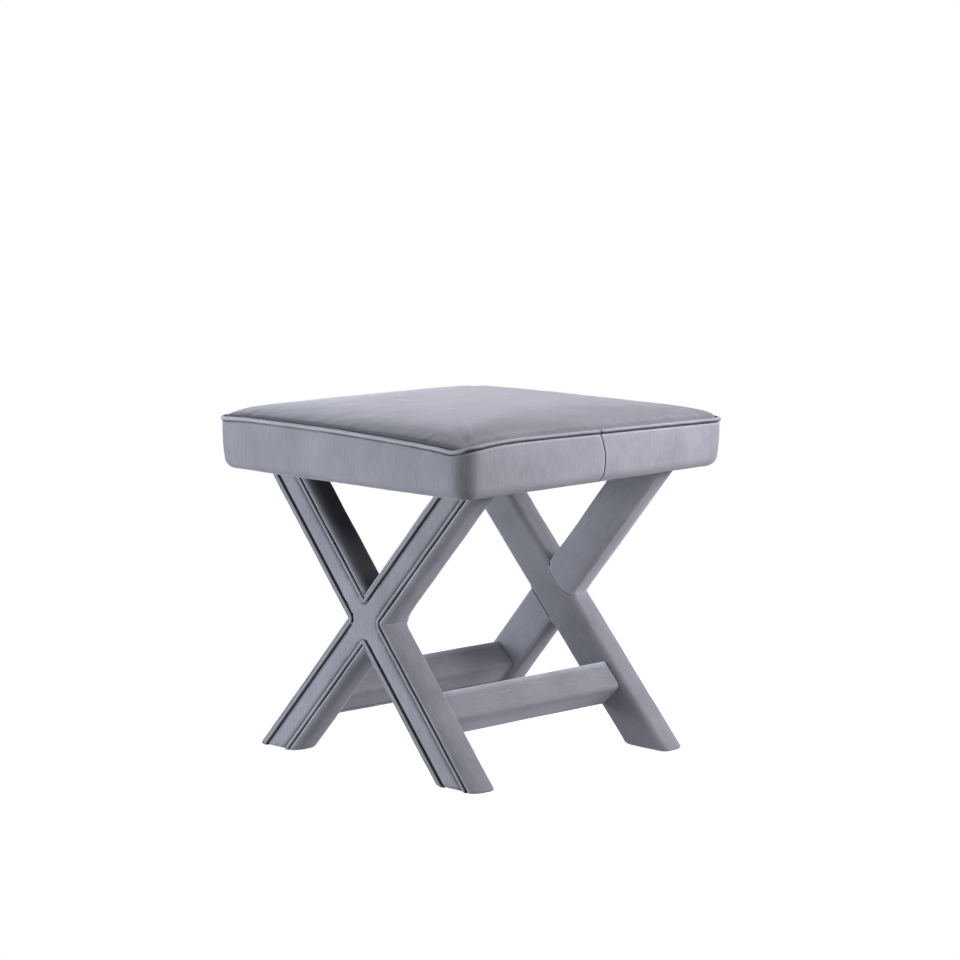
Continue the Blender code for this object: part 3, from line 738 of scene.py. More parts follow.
class BENCH_OT_cushion(Operator):
    """Make the crowned seat cushion, filled as cloth and gathered along the piping"""

    bl_idname = "bench.cushion"
    bl_label = "Seat cushion"

    cells = 96
    pucker = 0.0011
    pleat, pleat_width = 0.0028, 0.0045
    ridge, ridge_place, ridge_width = 0.0010, 0.012, 0.005

    def execute(self, context):
        self.rim = SeatRim(0.0)
        marks = [self.crowd(share * 2 - 1) for share in shares(self.cells)]
        bm = cloth_from(marks, marks, self.crown)
        turn_out(bm, lambda middle: Vector((0, 0, PIPING_HEIGHT - 1.0)))
        grown = bmesh.ops.extrude_face_region(bm, geom=bm.faces[:])["geom"]
        for item in grown:
            if isinstance(item, bmesh.types.BMVert):
                item.co.z = PAD_FOOT
        bmesh.ops.recalc_face_normals(bm, faces=bm.faces)
        lay_painted_light(bm, self.painted_lightness)
        cushion = add_cover("seat_cushion", bm, "seat_top_panel", "seat_foam")
        swell_cushion(cushion, self.sewn, AIR_PRESSURE, SWELL_CAP)
        self.gather(cushion)
        subdivide(cushion)
        return {"FINISHED"}

    def painted_lightness(self, vert):
        """Painted shade over the shoulder of the cushion, most on the left and at the front, and a little
        darker towards the right.
        """
        x, y = vert.co.x / COVER_EDGE, vert.co.y / COVER_EDGE
        reach = self.reach(vert.co)
        side = smooth_step(abs(x) - abs(y), -0.1, 0.1)
        shade = 0.05 * x + blend(0.04, 0.12, side) * smooth_step(reach, 0.84, 0.96)
        shade += blend(0.30, 0.48, side) * smooth_step(reach, 0.968, 0.99)
        shade += 0.22 * smooth_step(-(x + y) / 2, 0.35, 0.9) * (1 - smooth_step(reach, 0.9, 0.97))
        return 1 - shade

    def crowd(self, mark):
        """Draw the grid lines towards the edge of the seat."""
        return (1 - (1 - abs(mark)) ** 1.5) * (1 if mark > 0 else -1)

    def reach(self, point):
        return max(abs(point.x), abs(point.y)) / COVER_EDGE

    def hidden(self, point):
        return point.z < PIPING_HEIGHT - PIPING_COVER

    def sewn(self, point):
        return self.reach(point) > 0.985 or self.hidden(point)

    def crown(self, u, v):
        """Point of the crowned top over the unit square."""
        size = self.rim.size
        reach = max(abs(u), abs(v))
        if reach == 0:
            return Vector((0, 0, PIPING_HEIGHT + size.shoulder_rise + size.crown_rise))
        x, y = u / reach * COVER_EDGE, v / reach * COVER_EDGE
        inner = self.rim.straight
        over_x, over_y = abs(x) - inner, abs(y) - inner
        if over_x > 0 and over_y > 0:
            pull = (COVER_EDGE - inner) / hypot(over_x, over_y)
            x = (inner + over_x * pull) * (1 if x > 0 else -1)
            y = (inner + over_y * pull) * (1 if y > 0 else -1)
        drop = self.rim.dip(x, y) * reach**8
        shoulder = size.shoulder_rise * sqrt(1 - reach**12)
        crown = size.crown_rise * (1 - u * u) * (1 - v * v)
        return Vector((x * reach, y * reach, PIPING_HEIGHT - drop + shoulder + crown))

    def gather(self, cushion):
        """Small puckers along the piping, and a pleat with a ridge beside it at the right corners."""
        for vert in cushion.data.vertices:
            point = vert.co
            if self.hidden(point):
                continue
            reach = self.reach(point)
            edge = smooth_step(reach, 0.90, 0.975) * (1 - smooth_step(reach, 0.992, 1.0))
            if edge > 0:
                flank = abs(point.x) > abs(point.y)
                along, side = (point.y, 1.0) if flank else (point.x, 5.0)
                wave = lump((along, side, 0.0), 0.013) + 0.6 * lump((along, side, 3.0), 0.006)
                point.z += self.pucker * edge * wave
            off = abs(abs(point.x) - abs(point.y))
            corner = smooth_step(min(abs(point.x), abs(point.y)) / COVER_EDGE, 0.84, 0.95)
            if point.x > 0:
                point.z -= self.pleat * corner * near(off, self.pleat_width)
                point.z += self.ridge * corner * near(off - self.ridge_place, self.ridge_width)
            vert.co.z += 0.0005 * lump(point, 0.06) + 0.0003 * lump(point, 0.025)


# Crossed-leg frames

class CrossedLegs:
    """Sizes of one frame and places on it, from the crossing on its outer face."""

    def __init__(self, sign):
        size = sizes()
        self.sign = sign
        self.half = size.leg_width / 2
        self.thick = size.leg_thick
        self.shoulder = size.leg_shoulder
        self.edge_round = size.leg_round
        self.face = size.face_width / 2
        self.piping = size.piping / 2
        self.piping_line = self.face - PIPING_GAP - self.piping
        self.sine, self.cosine = sin(size.leg_angle), cos(size.leg_angle)
        self.angle = size.leg_angle
        self.slope = self.cosine / self.sine
        self.splay = tan(size.frame_splay)
        self.origin = Vector((sign * size.frame_face, 0, size.cross_height))
        self.top = WRAP_HIGH.z - size.cross_height
        self.foot = WRAP_LOW.z - size.cross_height - TOE_DROP

    def point(self, lean, depth, width, z):
        return self.flat_point(depth, lean * self.slope * z + width / self.sine, z)

    def flat_point(self, depth, y, z):
        return Vector((-self.sign * (depth + self.splay * z), y, z))

    def depth_at(self, point):
        return -self.sign * point.x - self.splay * point.z

    def width_at(self, lean, y, z):
        return (y - lean * self.slope * z) * self.sine

    def eased(self, depth, width, inset):
        """Draw a point of the section in towards its middle."""
        middle = self.thick / 2
        depth = middle + (depth - middle) * (1 - inset / middle)
        return depth, width * (1 - inset / self.half)

    def toe_inset(self, z):
        """How far the round toe draws in at a height."""
        rise = 1 - min(1.0, max(0.0, (z - self.foot) / TOE_ROUND))
        return TOE_ROUND * (1 - sqrt(1 - rise * rise))

    def toe_point(self, lean, depth, y, z):
        """Place a point of the outer face, rounded under at the toe."""
        depth, width = self.eased(depth, self.width_at(lean, y, z), self.toe_inset(z))
        return self.point(lean, depth, width, z)

    def from_crease(self, lean, point):
        """Distance to the crease between a leg's cover and the piping of its face."""
        width = self.width_at(lean, point.y, point.z)
        return hypot(self.depth_at(point) - ROLL, abs(width) - self.face)

    def outline(self, edge_round):
        """A leg's cover as (depth, width), from crease to crease round the inner face."""
        swell = self.half - self.face
        points = [(TUCK, self.face)]
        points += arc((ROLL, self.face + ROLL), (ROLL, ROLL), -pi / 2, -pi, 4)
        start = pi - asin(ROLL / swell) - 0.1
        points += arc((self.shoulder, self.face), (self.shoulder, swell), start, pi / 2, 9)
        side = self.thick - edge_round - self.shoulder
        points += [(self.shoulder + side * share, self.half) for share in (0.33, 0.67)]
        middle = self.thick - edge_round, self.half - edge_round
        points += arc(middle, (edge_round, edge_round), pi / 2, 0, 8)
        points += [(self.thick, middle[1] * share) for share in (0.75, 0.5, 0.25, 0)]
        return points + [(depth, -width) for depth, width in points[-2::-1]]

    def hem_rows(self):
        """Rows under and round the toe as (height, inset)."""
        rows = [(self.foot, TOE_ROUND + HEM_TURN * share) for share in (1, 0.5)]
        for turn in range(7):
            angle = pi / 2 * (1 - turn / 7)
            rows.append((self.foot + TOE_ROUND * (1 - sin(angle)), TOE_ROUND * (1 - cos(angle))))
        return rows

    def upper_end(self, depth, width, line):
        """Height at which a cover on the upper half of leg B ends."""
        mitre = max(-OVERLAP, width) / self.cosine
        if depth <= self.shoulder:
            return mitre
        held = min(LAP_HIGH, max(LAP_LOW, width))
        end = (line(held) + held) / (2 * self.cosine)
        if width > LAP_HIGH:
            return blend(end, mitre, (width - LAP_HIGH) / (self.half - LAP_HIGH))
        if width < LAP_LOW:
            return blend(end, mitre, (LAP_LOW - width) / (self.half + LAP_LOW))
        return end


def lap_line(width):
    """Edge of the upper lap, with a round corner at the top, from leg A's middle."""
    start = LAP_HIGH - LAP_ROUND
    if width > start:
        return LAP_LINE + LAP_ROUND - sqrt(max(0.0, LAP_ROUND**2 - (width - start) ** 2))
    curl, bend = 0.005, -0.008
    return LAP_LINE + curl * max(0.0, (bend - width) / (bend - LAP_LOW)) ** 2


def butt_line(width):
    return BUTT_LINE


def leg_cloth(legs, lean, rows, level, firmness, painted_tone, cut=None):
    """Cloth round a leg, where level gives the height, inset and raise of a point.

    The pile is painted as light as the tone of a point: painted light and shade for each
    length, and painted shade in the crease beside the face piping.
    """
    columns = list(zip(legs.outline(legs.edge_round), legs.outline(FIRM_EDGE), strict=True))

    def place(column, row):
        (depth, width), (firm_depth, firm_width) = column
        z, inset, lift = level(row, depth, width)
        share = firmness(z, width)
        depth, width = blend(depth, firm_depth, share), blend(width, firm_width, share)
        depth, width = legs.eased(depth + lift, width, inset)
        return legs.point(lean, depth, width, z)

    bm = cloth_from(columns, rows, place)
    turn_out(bm, lambda middle: legs.point(lean, legs.thick / 2, 0, middle.z))
    if cut:
        cut(bm, legs)
    ripple(bm, [(0.0005, 0.06), (0.00018, 0.018)])
    lay_painted_light(bm, lambda vert: painted_tone(vert) * crease(legs.from_crease(lean, vert.co), reach=0.0011))
    return bm


def slack(z, width):
    return 0.0


def cut_crossing(bm, legs):
    """Open leg A's cover where the two halves of leg B come in."""
    offsets = (0.0, 0.0004, 0.0009, 0.0016, 0.0028)
    margin, under_lap = 0.005, 0.004

    def close_by(face, planes):
        corners = [vert.co for vert in face.verts]
        return all(min(normal.dot(corner) - start for corner in corners) < margin for normal, start in planes)

    for up, line in ((1, LAP_LINE + under_lap), (-1, BUTT_LINE)):
        across = Vector((0, -up * legs.sine, up * legs.cosine))
        planes = [
            (Vector((0, up, 0)), 0.0),
            (Vector((0, 0, -up)), -OVERLAP),
            (-across, -line),
        ]
        for normal, start in planes:
            for offset in offsets:
                around = [face for face in bm.faces if close_by(face, planes)]
                slice_faces(bm, around, normal, start + offset)
        doomed = []
        for face in bm.faces:
            middle = face.calc_center_median()
            if up * middle.y < 0 and up * middle.z > OVERLAP and middle.dot(across) > line:
                doomed.append(face)
        bmesh.ops.delete(bm, geom=doomed, context="FACES")
    score_lap(bm, legs)


def lap_edge(legs):
    """Points along the edge of the upper lap of leg B, on the inner face."""
    points = []
    for share in shares(150):
        width = blend(LAP_LOW, LAP_HIGH, share)
        end = legs.upper_end(legs.thick, width, lap_line)
        points.append(legs.point(LEAN_B, legs.thick, width, end))
    return points


def score_lap(bm, legs):
    """Divide leg A's cover finely beside the lap of leg B."""
    across = Vector((0, -legs.sine, legs.cosine))
    along = Vector((0, legs.cosine, legs.sine))
    edge = lap_edge(legs)
    margin, skin = 0.006, 0.002
    spans = []
    for normal in (across, along):
        places = [normal.dot(point) for point in edge]
        spans.append((min(places) - margin, max(places) + margin))

    def beside(face):
        middle = face.calc_center_median()
        if legs.depth_at(middle) < legs.thick - skin:
            return False
        return all(low < normal.dot(middle) < high for normal, (low, high) in zip((across, along), spans))

    for normal, (low, high), pitch in ((across, spans[0], 0.0007), (along, spans[1], 0.0014)):
        for share in shares(round((high - low) / pitch)):
            around = [face for face in bm.faces if beside(face)]
            slice_faces(bm, around, normal, blend(low, high, share))


def shade_lap(bm, legs):
    """Painted shadow line on leg A's cover beside the lap of leg B."""
    tree = tree_of(lap_edge(legs))
    lay_painted_light(bm, lambda vert: crease(tree.find(vert.co)[2], reach=0.0014, strength=0.9))


class BENCH_OT_leg_covers(Operator):
    """Make the covers of the legs: leg A in one length, leg B in two"""

    bl_idname = "bench.leg_covers"
    bl_label = "Leg covers"

    def execute(self, context):
        for side, sign in SIDES.items():
            legs = CrossedLegs(sign)
            self.leg_a(legs, side)
            self.leg_b_upper(legs, side)
            self.leg_b_lower(legs, side)
        return {"FINISHED"}

    def leg_a(self, legs, side):
        start = legs.foot + TOE_ROUND
        count = round((legs.top - start) / ROW_PITCH)
        rows = legs.hem_rows() + [(blend(start, legs.top, share), 0.0) for share in shares(count)]
        reach = legs.half / legs.cosine
        ease = 0.004

        def firmness(z, width):
            """The edge is sharp along the butt of leg B."""
            if width <= 0:
                return 0.0
            return smooth_step(z, -reach - ease, -reach + ease) * smooth_step(-z, -ease, ease)

        def painted_tone(vert):
            """Painted shade: a little darker below the crossing, and dark in the upper corner of the left
            frame, under the seat.
            """
            z = vert.co.z
            vee_shade = smooth_step(-vert.normal.y, 0.5, 0.8) * smooth_step(z, 0.01, 0.03)
            dark = blend(0.16, 0.42, smooth_step(z, 0.04, 0.11)) if side == "left" else 1.0
            return blend(0.86, 1.0, smooth_step(z, 0.01, 0.06)) * blend(1.0, dark, vee_shade)

        def level(row, depth, width):
            return *row, 0.0

        bm = leg_cloth(legs, LEAN_A, rows, level, firmness, painted_tone, cut_crossing)
        shade_lap(bm, legs)
        tuck_edges(bm, depth=0.0009, reach=0.0009)
        self.add(legs, bm, f"leg_a_cover_{side}", f"leg_a_wrap_{side}")

    def leg_b_upper(self, legs, side):
        rows = shares_near_start(round(legs.top / ROW_PITCH))

        def level(share, depth, width):
            end = legs.upper_end(depth, width, lap_line)
            z = blend(end, legs.top, share)
            lift = LAP_RAISE * (1 - smooth_step(z - end, 0.0, 0.03))
            return z, 0.0, lift * smooth_step(depth, legs.shoulder, legs.thick)

        # The upper half of leg B is painted lighter all over
        bm = leg_cloth(legs, LEAN_B, rows, level, slack, lambda vert: 1.18)
        tuck_edges(bm, depth=0.0012, reach=0.0009)
        self.add(legs, bm, f"leg_b_upper_cover_{side}", f"leg_b_wrap_upper_{side}")

    def leg_b_lower(self, legs, side):
        start = legs.foot + TOE_ROUND
        ends = shares_near_start(round(-start / ROW_PITCH))
        rows = legs.hem_rows() + [1 - share for share in ends[::-1]]

        def level(row, depth, width):
            if isinstance(row, tuple):
                return *row, 0.0
            return blend(start, -legs.upper_end(depth, -width, butt_line), row), 0.0, 0.0

        bm = leg_cloth(legs, LEAN_B, rows, level, slack, lambda vert: 1.0)
        tuck_edges(bm, depth=0.0009, reach=0.0009)
        self.add(legs, bm, f"leg_b_lower_cover_{side}", f"leg_b_wrap_lower_{side}")

    def add(self, legs, bm, name, node):
        for vert in bm.verts:
            if vert.normal.z > 0 and vert.co.z < legs.foot + 0.001:
                vert.co.z = legs.foot + 2 * CLOTH
            bridge = legs.slope * max(0.0, WAIST - abs(vert.co.z)) ** 2 / (2 * WAIST)
            edge = smooth_step(-vert.co.y, 0.02, 0.03) * smooth_step(legs.depth_at(vert.co), 0.0, legs.thick)
            vert.co.y -= edge * bridge
        bmesh.ops.translate(bm, vec=legs.origin, verts=bm.verts)
        cover = add_cover(name, bm, node)
        thicken(cover)


def vee(legs, name, half_width, bend, top, foot):
    """One corner of the cross: the points of an arm, a round corner and an arm."""
    turn, *arms = VEES[name]
    upright = turn % 2 == 0
    run = legs.cosine if upright else legs.sine
    slope = legs.angle if upright else pi / 2 - legs.angle
    centre = (half_width + bend) / run
    corner = arc((0, centre), (bend, bend), slope - pi / 2, -slope - pi / 2, 8)
    spun = turn * pi / 2
    points = [(y * cos(spun) + z * sin(spun), z * cos(spun) - y * sin(spun)) for y, z in corner]
    ends = []
    for lean, edge, up in arms:
        height = top if up else foot
        ends.append((lean * legs.slope * height + edge * half_width / legs.sine, height))
    return [ends[0], *points, ends[1]]


def leg_of(y, z):
    """The lean of the leg that a point of the cross lies on, for its toe."""
    return LEAN_A if (y < 0) == (z < 0) else LEAN_B


class BENCH_OT_face_panels(Operator):
    """Make the padded cross on the outer face of each frame"""

    bl_idname = "bench.face_panels"
    bl_label = "Face panels"

    def execute(self, context):
        for side, sign in SIDES.items():
            self.make(CrossedLegs(sign), side)
        return {"FINISHED"}

    def make(self, legs, side):
        rim = legs.piping + PIPING_GAP
        half = legs.piping_line - rim
        outline = []
        for name in VEES:
            bend = VEE_BENDS[name] + rim
            outline += vee(legs, name, half, bend, legs.top, legs.foot + 0.0012)
        bm = bmesh.new()
        face = bm.faces.new([bm.verts.new((0, y, z)) for y, z in outline])
        for width in (0.0002, 0.0003, 0.0005, 0.0006, 0.0008, 0.0012, 0.002):
            bmesh.ops.inset_region(bm, faces=[face], thickness=width, use_even_offset=True)
        # A small shift keeps the slices off the middle lines
        pitch, long_pitch = 0.004, 0.006
        for step in range(-7, 8):
            for normal in (Vector((0, 1, 0)), Vector((0, 0, 1))):
                slice_faces(bm, bm.faces[:], normal, step * pitch + 0.0006)
        for lean in (LEAN_A, LEAN_B):
            along = Vector((0, lean * legs.cosine, legs.sine))
            across = Vector((0, legs.sine, -lean * legs.cosine))
            for step in range(-2, 3):
                slice_faces(bm, bm.faces[:], across, step * pitch + lean * 0.0007)
            # Slices nearer to the crossing would run along the other leg
            for step in (*range(-45, -6), *range(7, 46)):
                slice_faces(bm, bm.faces[:], along, step * long_pitch + lean * 0.0013)
        walls = [(Vector(start), Vector(end)) for start, end in pairwise([*outline, outline[0]])]
        lay_painted_light(bm, lambda vert: self.painted_lightness(vert.co.yz, walls))
        for vert in bm.verts:
            y, z = vert.co.yz
            distance = self.distance(vert.co.yz, walls).length
            lumps = 0.0005 * lump((y, z, legs.sign), 0.05) + 0.0002 * lump((y, z, legs.sign), 0.018)
            depth = self.pillow(distance) - lumps * smooth_step(distance, 0.001, 0.008)
            vert.co = legs.toe_point(leg_of(y, z), depth, y, z)
        edges = [edge for edge in bm.edges if edge.is_boundary]
        grown = bmesh.ops.extrude_edge_only(bm, edges=edges)["geom"]
        for item in grown:
            if isinstance(item, bmesh.types.BMVert):
                item.co.x = -legs.sign * (TUCK + legs.splay * item.co.z)
        close_up(bm)
        self.lay_cloth(bm)
        bmesh.ops.translate(bm, vec=legs.origin, verts=bm.verts)
        panel = add_cover(f"face_cover_{side}", bm, f"face_panel_{side}")

    def distance(self, spot, walls):
        """Way from the outline of the cross to a point."""
        ways = []
        for start, end in walls:
            foot, share = geometry.intersect_point_line(spot, start, end)
            foot = start if share < 0 else end if share > 1 else foot
            ways.append(spot - foot)
        return min(ways, key=lambda way: way.length)

    def painted_lightness(self, spot, walls):
        """Painted shade of the face: a dark painted crease along its back edges, a faint one along the front,
        and a little darker towards the top.
        """
        way = self.distance(spot, walls)
        turned = -way.x / max(way.length, 0.00002)
        painted_tone = blend(0.97, 0.93, smooth_step(spot.y, 0.02, 0.14))
        return painted_tone * crease(way.length, 0.0010, blend(0.15, 1.0, smooth_step(turned, -0.3, 0.45)))

    def pillow(self, distance):
        """Depth of the padded face at a distance from its edge."""
        rolled = min(distance, ROLL)
        depth = ROLL - sqrt(max(0.0, ROLL**2 - (ROLL - rolled) ** 2))
        rise, start, run = 0.0009, 0.001, 0.006
        return depth - rise * (1 - exp(-max(0.0, distance - start) / run))

    def lay_cloth(self, bm):
        layer = bm.loops.layers.uv.new("Cloth")
        for face in bm.faces:
            for loop in face.loops:
                loop[layer].uv = loop.vert.co.y, loop.vert.co.z


class BENCH_OT_face_piping(Operator):
    """Make the piping in the four corners of each cross"""

    bl_idname = "bench.face_piping"
    bl_label = "Face piping"

    def execute(self, context):
        for side, sign in SIDES.items():
            legs = CrossedLegs(sign)
            for name in VEES:
                self.make(legs, side, name)
        return {"FINISHED"}

    def make(self, legs, side, name):
        flat = vee(legs, name, legs.piping_line, VEE_BENDS[name], legs.top, legs.foot - 0.0005)
        middles = []
        for y, z in walk(flat, pitch=0.0025):
            depth = legs.piping - PIPING_PROUD + 0.00015 * lump((y, z, 7.0), 0.02)
            middles.append(legs.toe_point(leg_of(y, z), depth, y, z))
        path = []
        last = len(middles) - 1
        out = Vector((legs.sign, 0, 0))
        for index, middle in enumerate(middles):
            ahead = middles[min(index + 1, last)] - middles[max(index - 1, 0)]
            across = ahead.cross(out).normalized()
            first = across.cross(ahead).normalized()
            wave = 0.00025 * lump(middle, 0.028) + 0.00008 * lump(middle, 0.010)
            swell = 1 + 0.06 * lump(middle * 1.3, 0.012)
            path.append((middle + across * wave, first, across, swell))
        # The painted highlight faces out and towards the side the painted light comes from
        bm = cord(path, legs.piping, 14, lambda spot: out * 0.6 + LIT_FROM * 0.8)
        for vert in bm.verts:
            vert.co.z = max(vert.co.z, legs.foot + 0.0003)
        bmesh.ops.translate(bm, vec=legs.origin, verts=bm.verts)
        add_cover(f"face_piping_{name}_{side}", bm, f"face_welt_{name}_{side}")


# Stretchers

class BENCH_OT_stretcher_sleeves(Operator):
    """Make the sleeves on the two stretchers, each closed by one long seam"""

    bl_idname = "bench.stretcher_sleeves"
    bl_label = "Stretcher sleeves"

    def execute(self, context):
        for end, sign in ENDS.items():
            self.make(end, sign)
        return {"FINISHED"}

    def make(self, end, sign):
        size = sizes()
        legs = CrossedLegs(1)
        below = size.cross_height - size.stretcher_height
        middle = Vector((0, sign * below * legs.slope, size.stretcher_height))
        turn = size.leg_angle - pi / 2 if sign < 0 else -size.leg_angle - pi / 2
        inner = size.frame_face - size.leg_thick

        def place(column, share):
            y = column[0] * cos(turn) - column[1] * sin(turn)
            z = column[0] * sin(turn) + column[1] * cos(turn)
            height = middle.z + z
            reach = inner + legs.splay * (size.cross_height - height) - 0.0002
            return Vector((reach * share, middle.y + y, height))

        marks = [0.0, 0.002, 0.005, 0.009, 0.014, 0.022]
        marks += [blend(0.03, 1.0, share) for share in shares(40)]
        rows = [-1 + mark for mark in marks] + [1 - mark for mark in marks[-2::-1]]
        bm = cloth_from(self.outline(size, sign), rows, place)
        turn_out(bm, lambda point: Vector((point.x, middle.y, middle.z)))
        ripple(bm, [(0.0004, 0.07), (0.00015, 0.02)])
        tuck_edges(bm, depth=0.0009, reach=0.0008)
        top = middle.z + size.stretcher_side / 2 * (legs.sine + legs.cosine)
        low = 2 * middle.z - top
        bounce_light = 0.55 if sign < 0 else 0.2

        def painted_lightness(vert):
            """Painted darker overall, with a painted highlight along the top edge and painted light again
            towards the lower edge, most on the front stretcher.
            """
            rim = smooth_step(vert.co.z, top - 0.0035, top - 0.0012)
            return 0.85 + 0.8 * rim + bounce_light * (1 - smooth_step(vert.co.z, low + 0.010, middle.z))

        lay_painted_light(bm, painted_lightness)
        sleeve = add_cover(f"stretcher_cover_{end}", bm, f"stretcher_sleeve_{end}")
        thicken(sleeve)

    def outline(self, size, sign):
        """Round square from one side of the seam to the other."""
        half = size.stretcher_side / 2
        soft, firm, sharp = size.stretcher_round, size.stretcher_round / 2, size.stretcher_round / 4
        corners = (soft, firm, soft, sharp) if sign < 0 else (sharp, soft, firm, soft)
        seam = 0.0 if sign < 0 else half - 0.006
        close = [0.0, 0.0004, 0.0009, 0.0016, 0.003, 0.007, 0.012]
        loop = [(half, seam + step) for step in close if seam + step < half - corners[0]]
        for quarter, corner in enumerate(corners):
            start = quarter * pi / 2
            spin = Matrix.Rotation(start, 2)
            inner = half - corner
            loop += arc(spin @ Vector((inner, inner)), (corner, corner), start, start + pi / 2, 6)
            if quarter < 3:
                far = half - corners[quarter + 1]
                loop += [tuple(spin @ Vector((blend(inner, -far, share), half))) for share in shares(5)[1:-1]]
        return loop + [(half, seam - step) for step in close[::-1] if seam - step > corners[3] - half]


# Parts under the cloth

class BENCH_OT_bare_parts(Operator):
    """Give the wood, screws, dust cover and foot pads their finishes"""

    bl_idname = "bench.bare_parts"
    bl_label = "Bare parts"

    def execute(self, context):
        colour = colours()
        steel = steel_material()
        beech = wood_material("Beech", colour.beech, (90.0, 14.0, 90.0))
        leg = wood_material("Beech legs", colour.beech, (90.0, 14.0, 90.0), sizes().cross_height)
        finishes = {
            "leg_a_core": leg,
            "leg_b_core": leg,
            "seat_rail": beech,
            "corner_post": beech,
            "cross_rail": beech,
            "stretcher_core": wood_material("Beech along", colour.beech, (9.0, 110.0, 110.0)),
            "seat_deck": wood_material("Plywood", colour.plywood, (12.0, 60.0, 700.0)),
            "dust_cover": woven_material("Cambric", colour.cambric, 900.0),
            "foot_pad": woven_material("Felt", colour.felt, 500.0),
            "lap_screw": steel,
            "leg_screw": steel,
            "stretcher_screw": steel,
        }
        for name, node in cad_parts.items():
            if node.hide_render:
                continue
            kind = next((kind for kind in finishes if name.startswith(kind)), None)
            if kind is None:
                raise RuntimeError(f"{name} has no finish")
            for slot in node.material_slots:
                slot.material = finishes[kind]
        return {"FINISHED"}


# Stage

def add_area_light(name, place, size, power, colour):
    """A soft light that faces the middle of the bench."""
    lamp = bpy.data.lights.new(name, "AREA")
    lamp.shape = "RECTANGLE"
    lamp.size, lamp.size_y = size
    lamp.energy = power
    lamp.color = colour
    light = bpy.data.objects.new(name, lamp)
    light.location = place
    aim = Vector((0.0, 0.0, 0.25)) - Vector(place)
    light.rotation_euler = aim.to_track_quat("-Z", "Y").to_euler()
    bpy.context.scene.collection.objects.link(light)


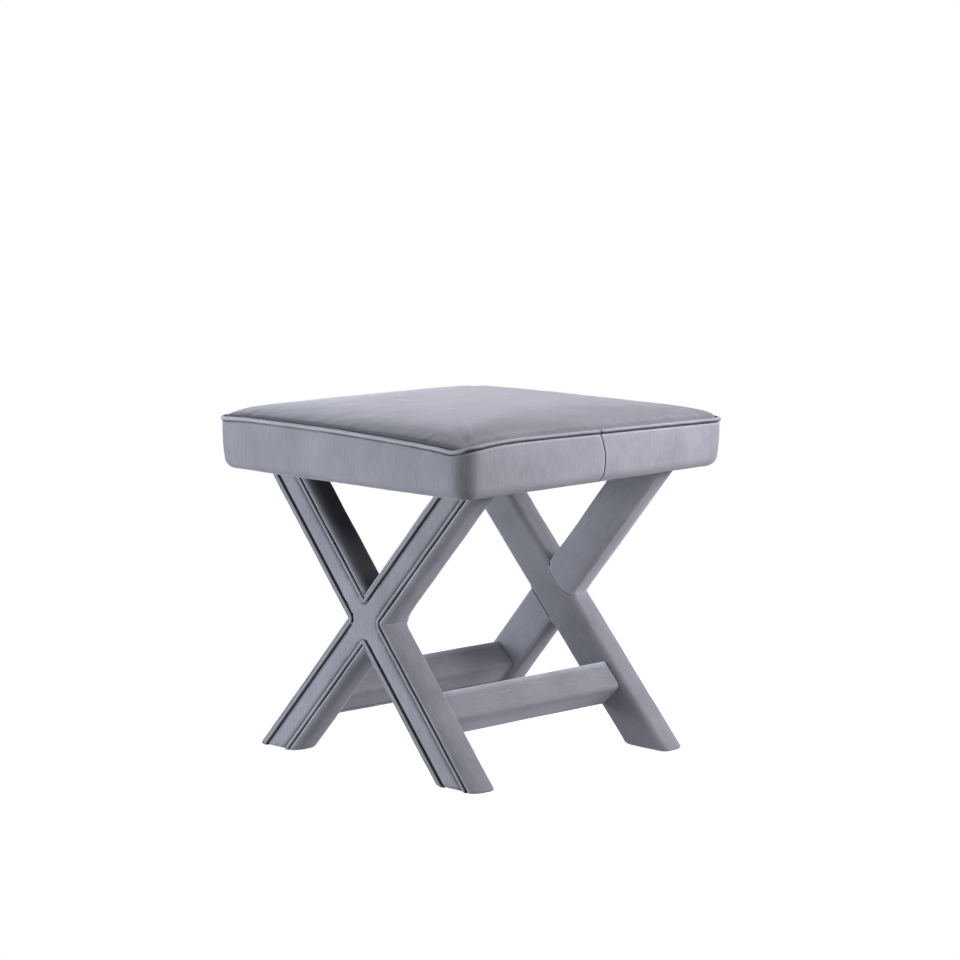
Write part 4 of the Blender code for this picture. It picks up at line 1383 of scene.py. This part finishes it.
class BENCH_OT_stage(Operator):
    """Make the floor, the white room, the lights and the camera"""

    bl_idname = "bench.stage"
    bl_label = "Stage"

    def execute(self, context):
        scene = context.scene
        scene.view_settings.view_transform = "Standard"
        self.floor()
        self.room(scene)
        self.lights(scene.bench_stage)
        self.camera(scene)
        return {"FINISHED"}

    def floor(self):
        bm = bmesh.new()
        bmesh.ops.create_grid(bm, x_segments=1, y_segments=1, size=12.0)
        mesh = bpy.data.meshes.new("Floor")
        bm.to_mesh(mesh)
        bm.free()
        floor = bpy.data.objects.new("Floor", mesh)
        bpy.context.scene.collection.objects.link(floor)
        finish = Finish("Floor", (0.6, 0.6, 0.6), 0.9)
        away = finish.add("VectorMath", {0: finish.place}, operation="LENGTH")["Value"]
        fade = {"Value": away, "From Min": 0.4, "From Max": 1.0}
        white = finish.add("MapRange", {**fade, "To Min": 0.86, "To Max": 1.0})[0]
        inputs = {
            "Base Color": finish.add("MapRange", {**fade, "To Min": 0.6, "To Max": 0.0})[0],
            "Specular IOR Level": 0.0,
            "Emission Color": WHITE,
            "Emission Strength": finish.math("MULTIPLY", finish.seen(), white),
        }
        finish.set(inputs)
        finish.material.cycles.emission_sampling = "NONE"
        mesh.materials.append(finish.material)

    def room(self, scene):
        world = bpy.data.worlds.new("White room")
        world.use_nodes = True
        nodes = Nodes(world.node_tree)
        levels = {"To Min": scene.bench_stage.room_light, "To Max": 1.0}
        level = nodes.add("MapRange", {"Value": nodes.seen(), **levels})[0]
        nodes.fill(world.node_tree.nodes["Background"], {"Color": WHITE, "Strength": level})
        scene.world = world

    def lights(self, stage):
        warm, cool = (1.0, 0.975, 0.97), (0.98, 0.99, 1.0)
        right, front, left, back = stage.right_power, stage.front_power, stage.left_power, stage.back_power
        lights = (
            ("Right", (1.5, -1.3, 1.1), (1.0, 0.7), right, warm),
            ("Right low", (1.1, -0.5, 0.25), (0.6, 0.4), right * 0.06, warm),
            ("Front near", (0.1, -0.85, 0.75), (0.4, 0.4), front, warm),
            ("Front right", (0.7, -1.0, 0.74), (0.4, 0.4), front * 0.93, warm),
            ("Left", (-2.0, 0.3, 0.4), (1.0, 0.7), left * 0.93, cool),
            ("Left back", (-1.7, 1.2, 0.35), (0.9, 0.6), left, cool),
            ("Top back", (-0.3, 0.9, 2.0), (1.6, 1.6), back * 0.66, cool),
            ("Back", (0.3, 2.2, 0.9), (1.2, 0.5), back, cool),
        )
        for light in lights:
            add_area_light(*light)

    def camera(self, scene):
        lens = bpy.data.cameras.new("Camera")
        lens.sensor_width = 36.0
        lens.lens = 112.9
        lens.clip_end = 60.0
        camera = bpy.data.objects.new("Camera", lens)
        camera.location = (-2.7719, -2.8992, 0.8921)
        aim = Vector((0.6874, 0.7144, -0.1304))
        camera.rotation_euler = aim.to_track_quat("-Z", "Y").to_euler()
        scene.collection.objects.link(camera)
        scene.camera = camera


class BENCH_PT_panel(Panel):
    """Steps that dress the bench"""

    bl_label = "Velvet bench"
    bl_idname = "BENCH_PT_panel"
    bl_space_type = "VIEW_3D"
    bl_region_type = "UI"
    bl_category = "Bench"

    def draw(self, context):
        for step in STEPS:
            self.layout.operator(step.bl_idname)


STEPS = (
    BENCH_OT_stage,
    BENCH_OT_cushion,
    BENCH_OT_seat_piping,
    BENCH_OT_side_band,
    BENCH_OT_leg_covers,
    BENCH_OT_face_panels,
    BENCH_OT_face_piping,
    BENCH_OT_stretcher_sleeves,
    BENCH_OT_bare_parts,
)
GROUPS = {"bench_sizes": BenchSizes, "bench_colours": BenchColours, "bench_stage": BenchStage}


def register():
    for item in (*GROUPS.values(), *STEPS, BENCH_PT_panel):
        bpy.utils.register_class(item)
    for name, group in GROUPS.items():
        setattr(bpy.types.Scene, name, PointerProperty(type=group))


def unregister():
    for name in GROUPS:
        delattr(bpy.types.Scene, name)
    for item in (BENCH_PT_panel, *STEPS, *GROUPS.values()):
        bpy.utils.unregister_class(item)


def main():
    register()
    bpy.ops.bench.stage()
    bpy.ops.bench.cushion()
    bpy.ops.bench.seat_piping()
    bpy.ops.bench.side_band()
    bpy.ops.bench.leg_covers()
    bpy.ops.bench.face_panels()
    bpy.ops.bench.face_piping()
    bpy.ops.bench.stretcher_sleeves()
    bpy.ops.bench.bare_parts()


if __name__ == "__main__":
    main()
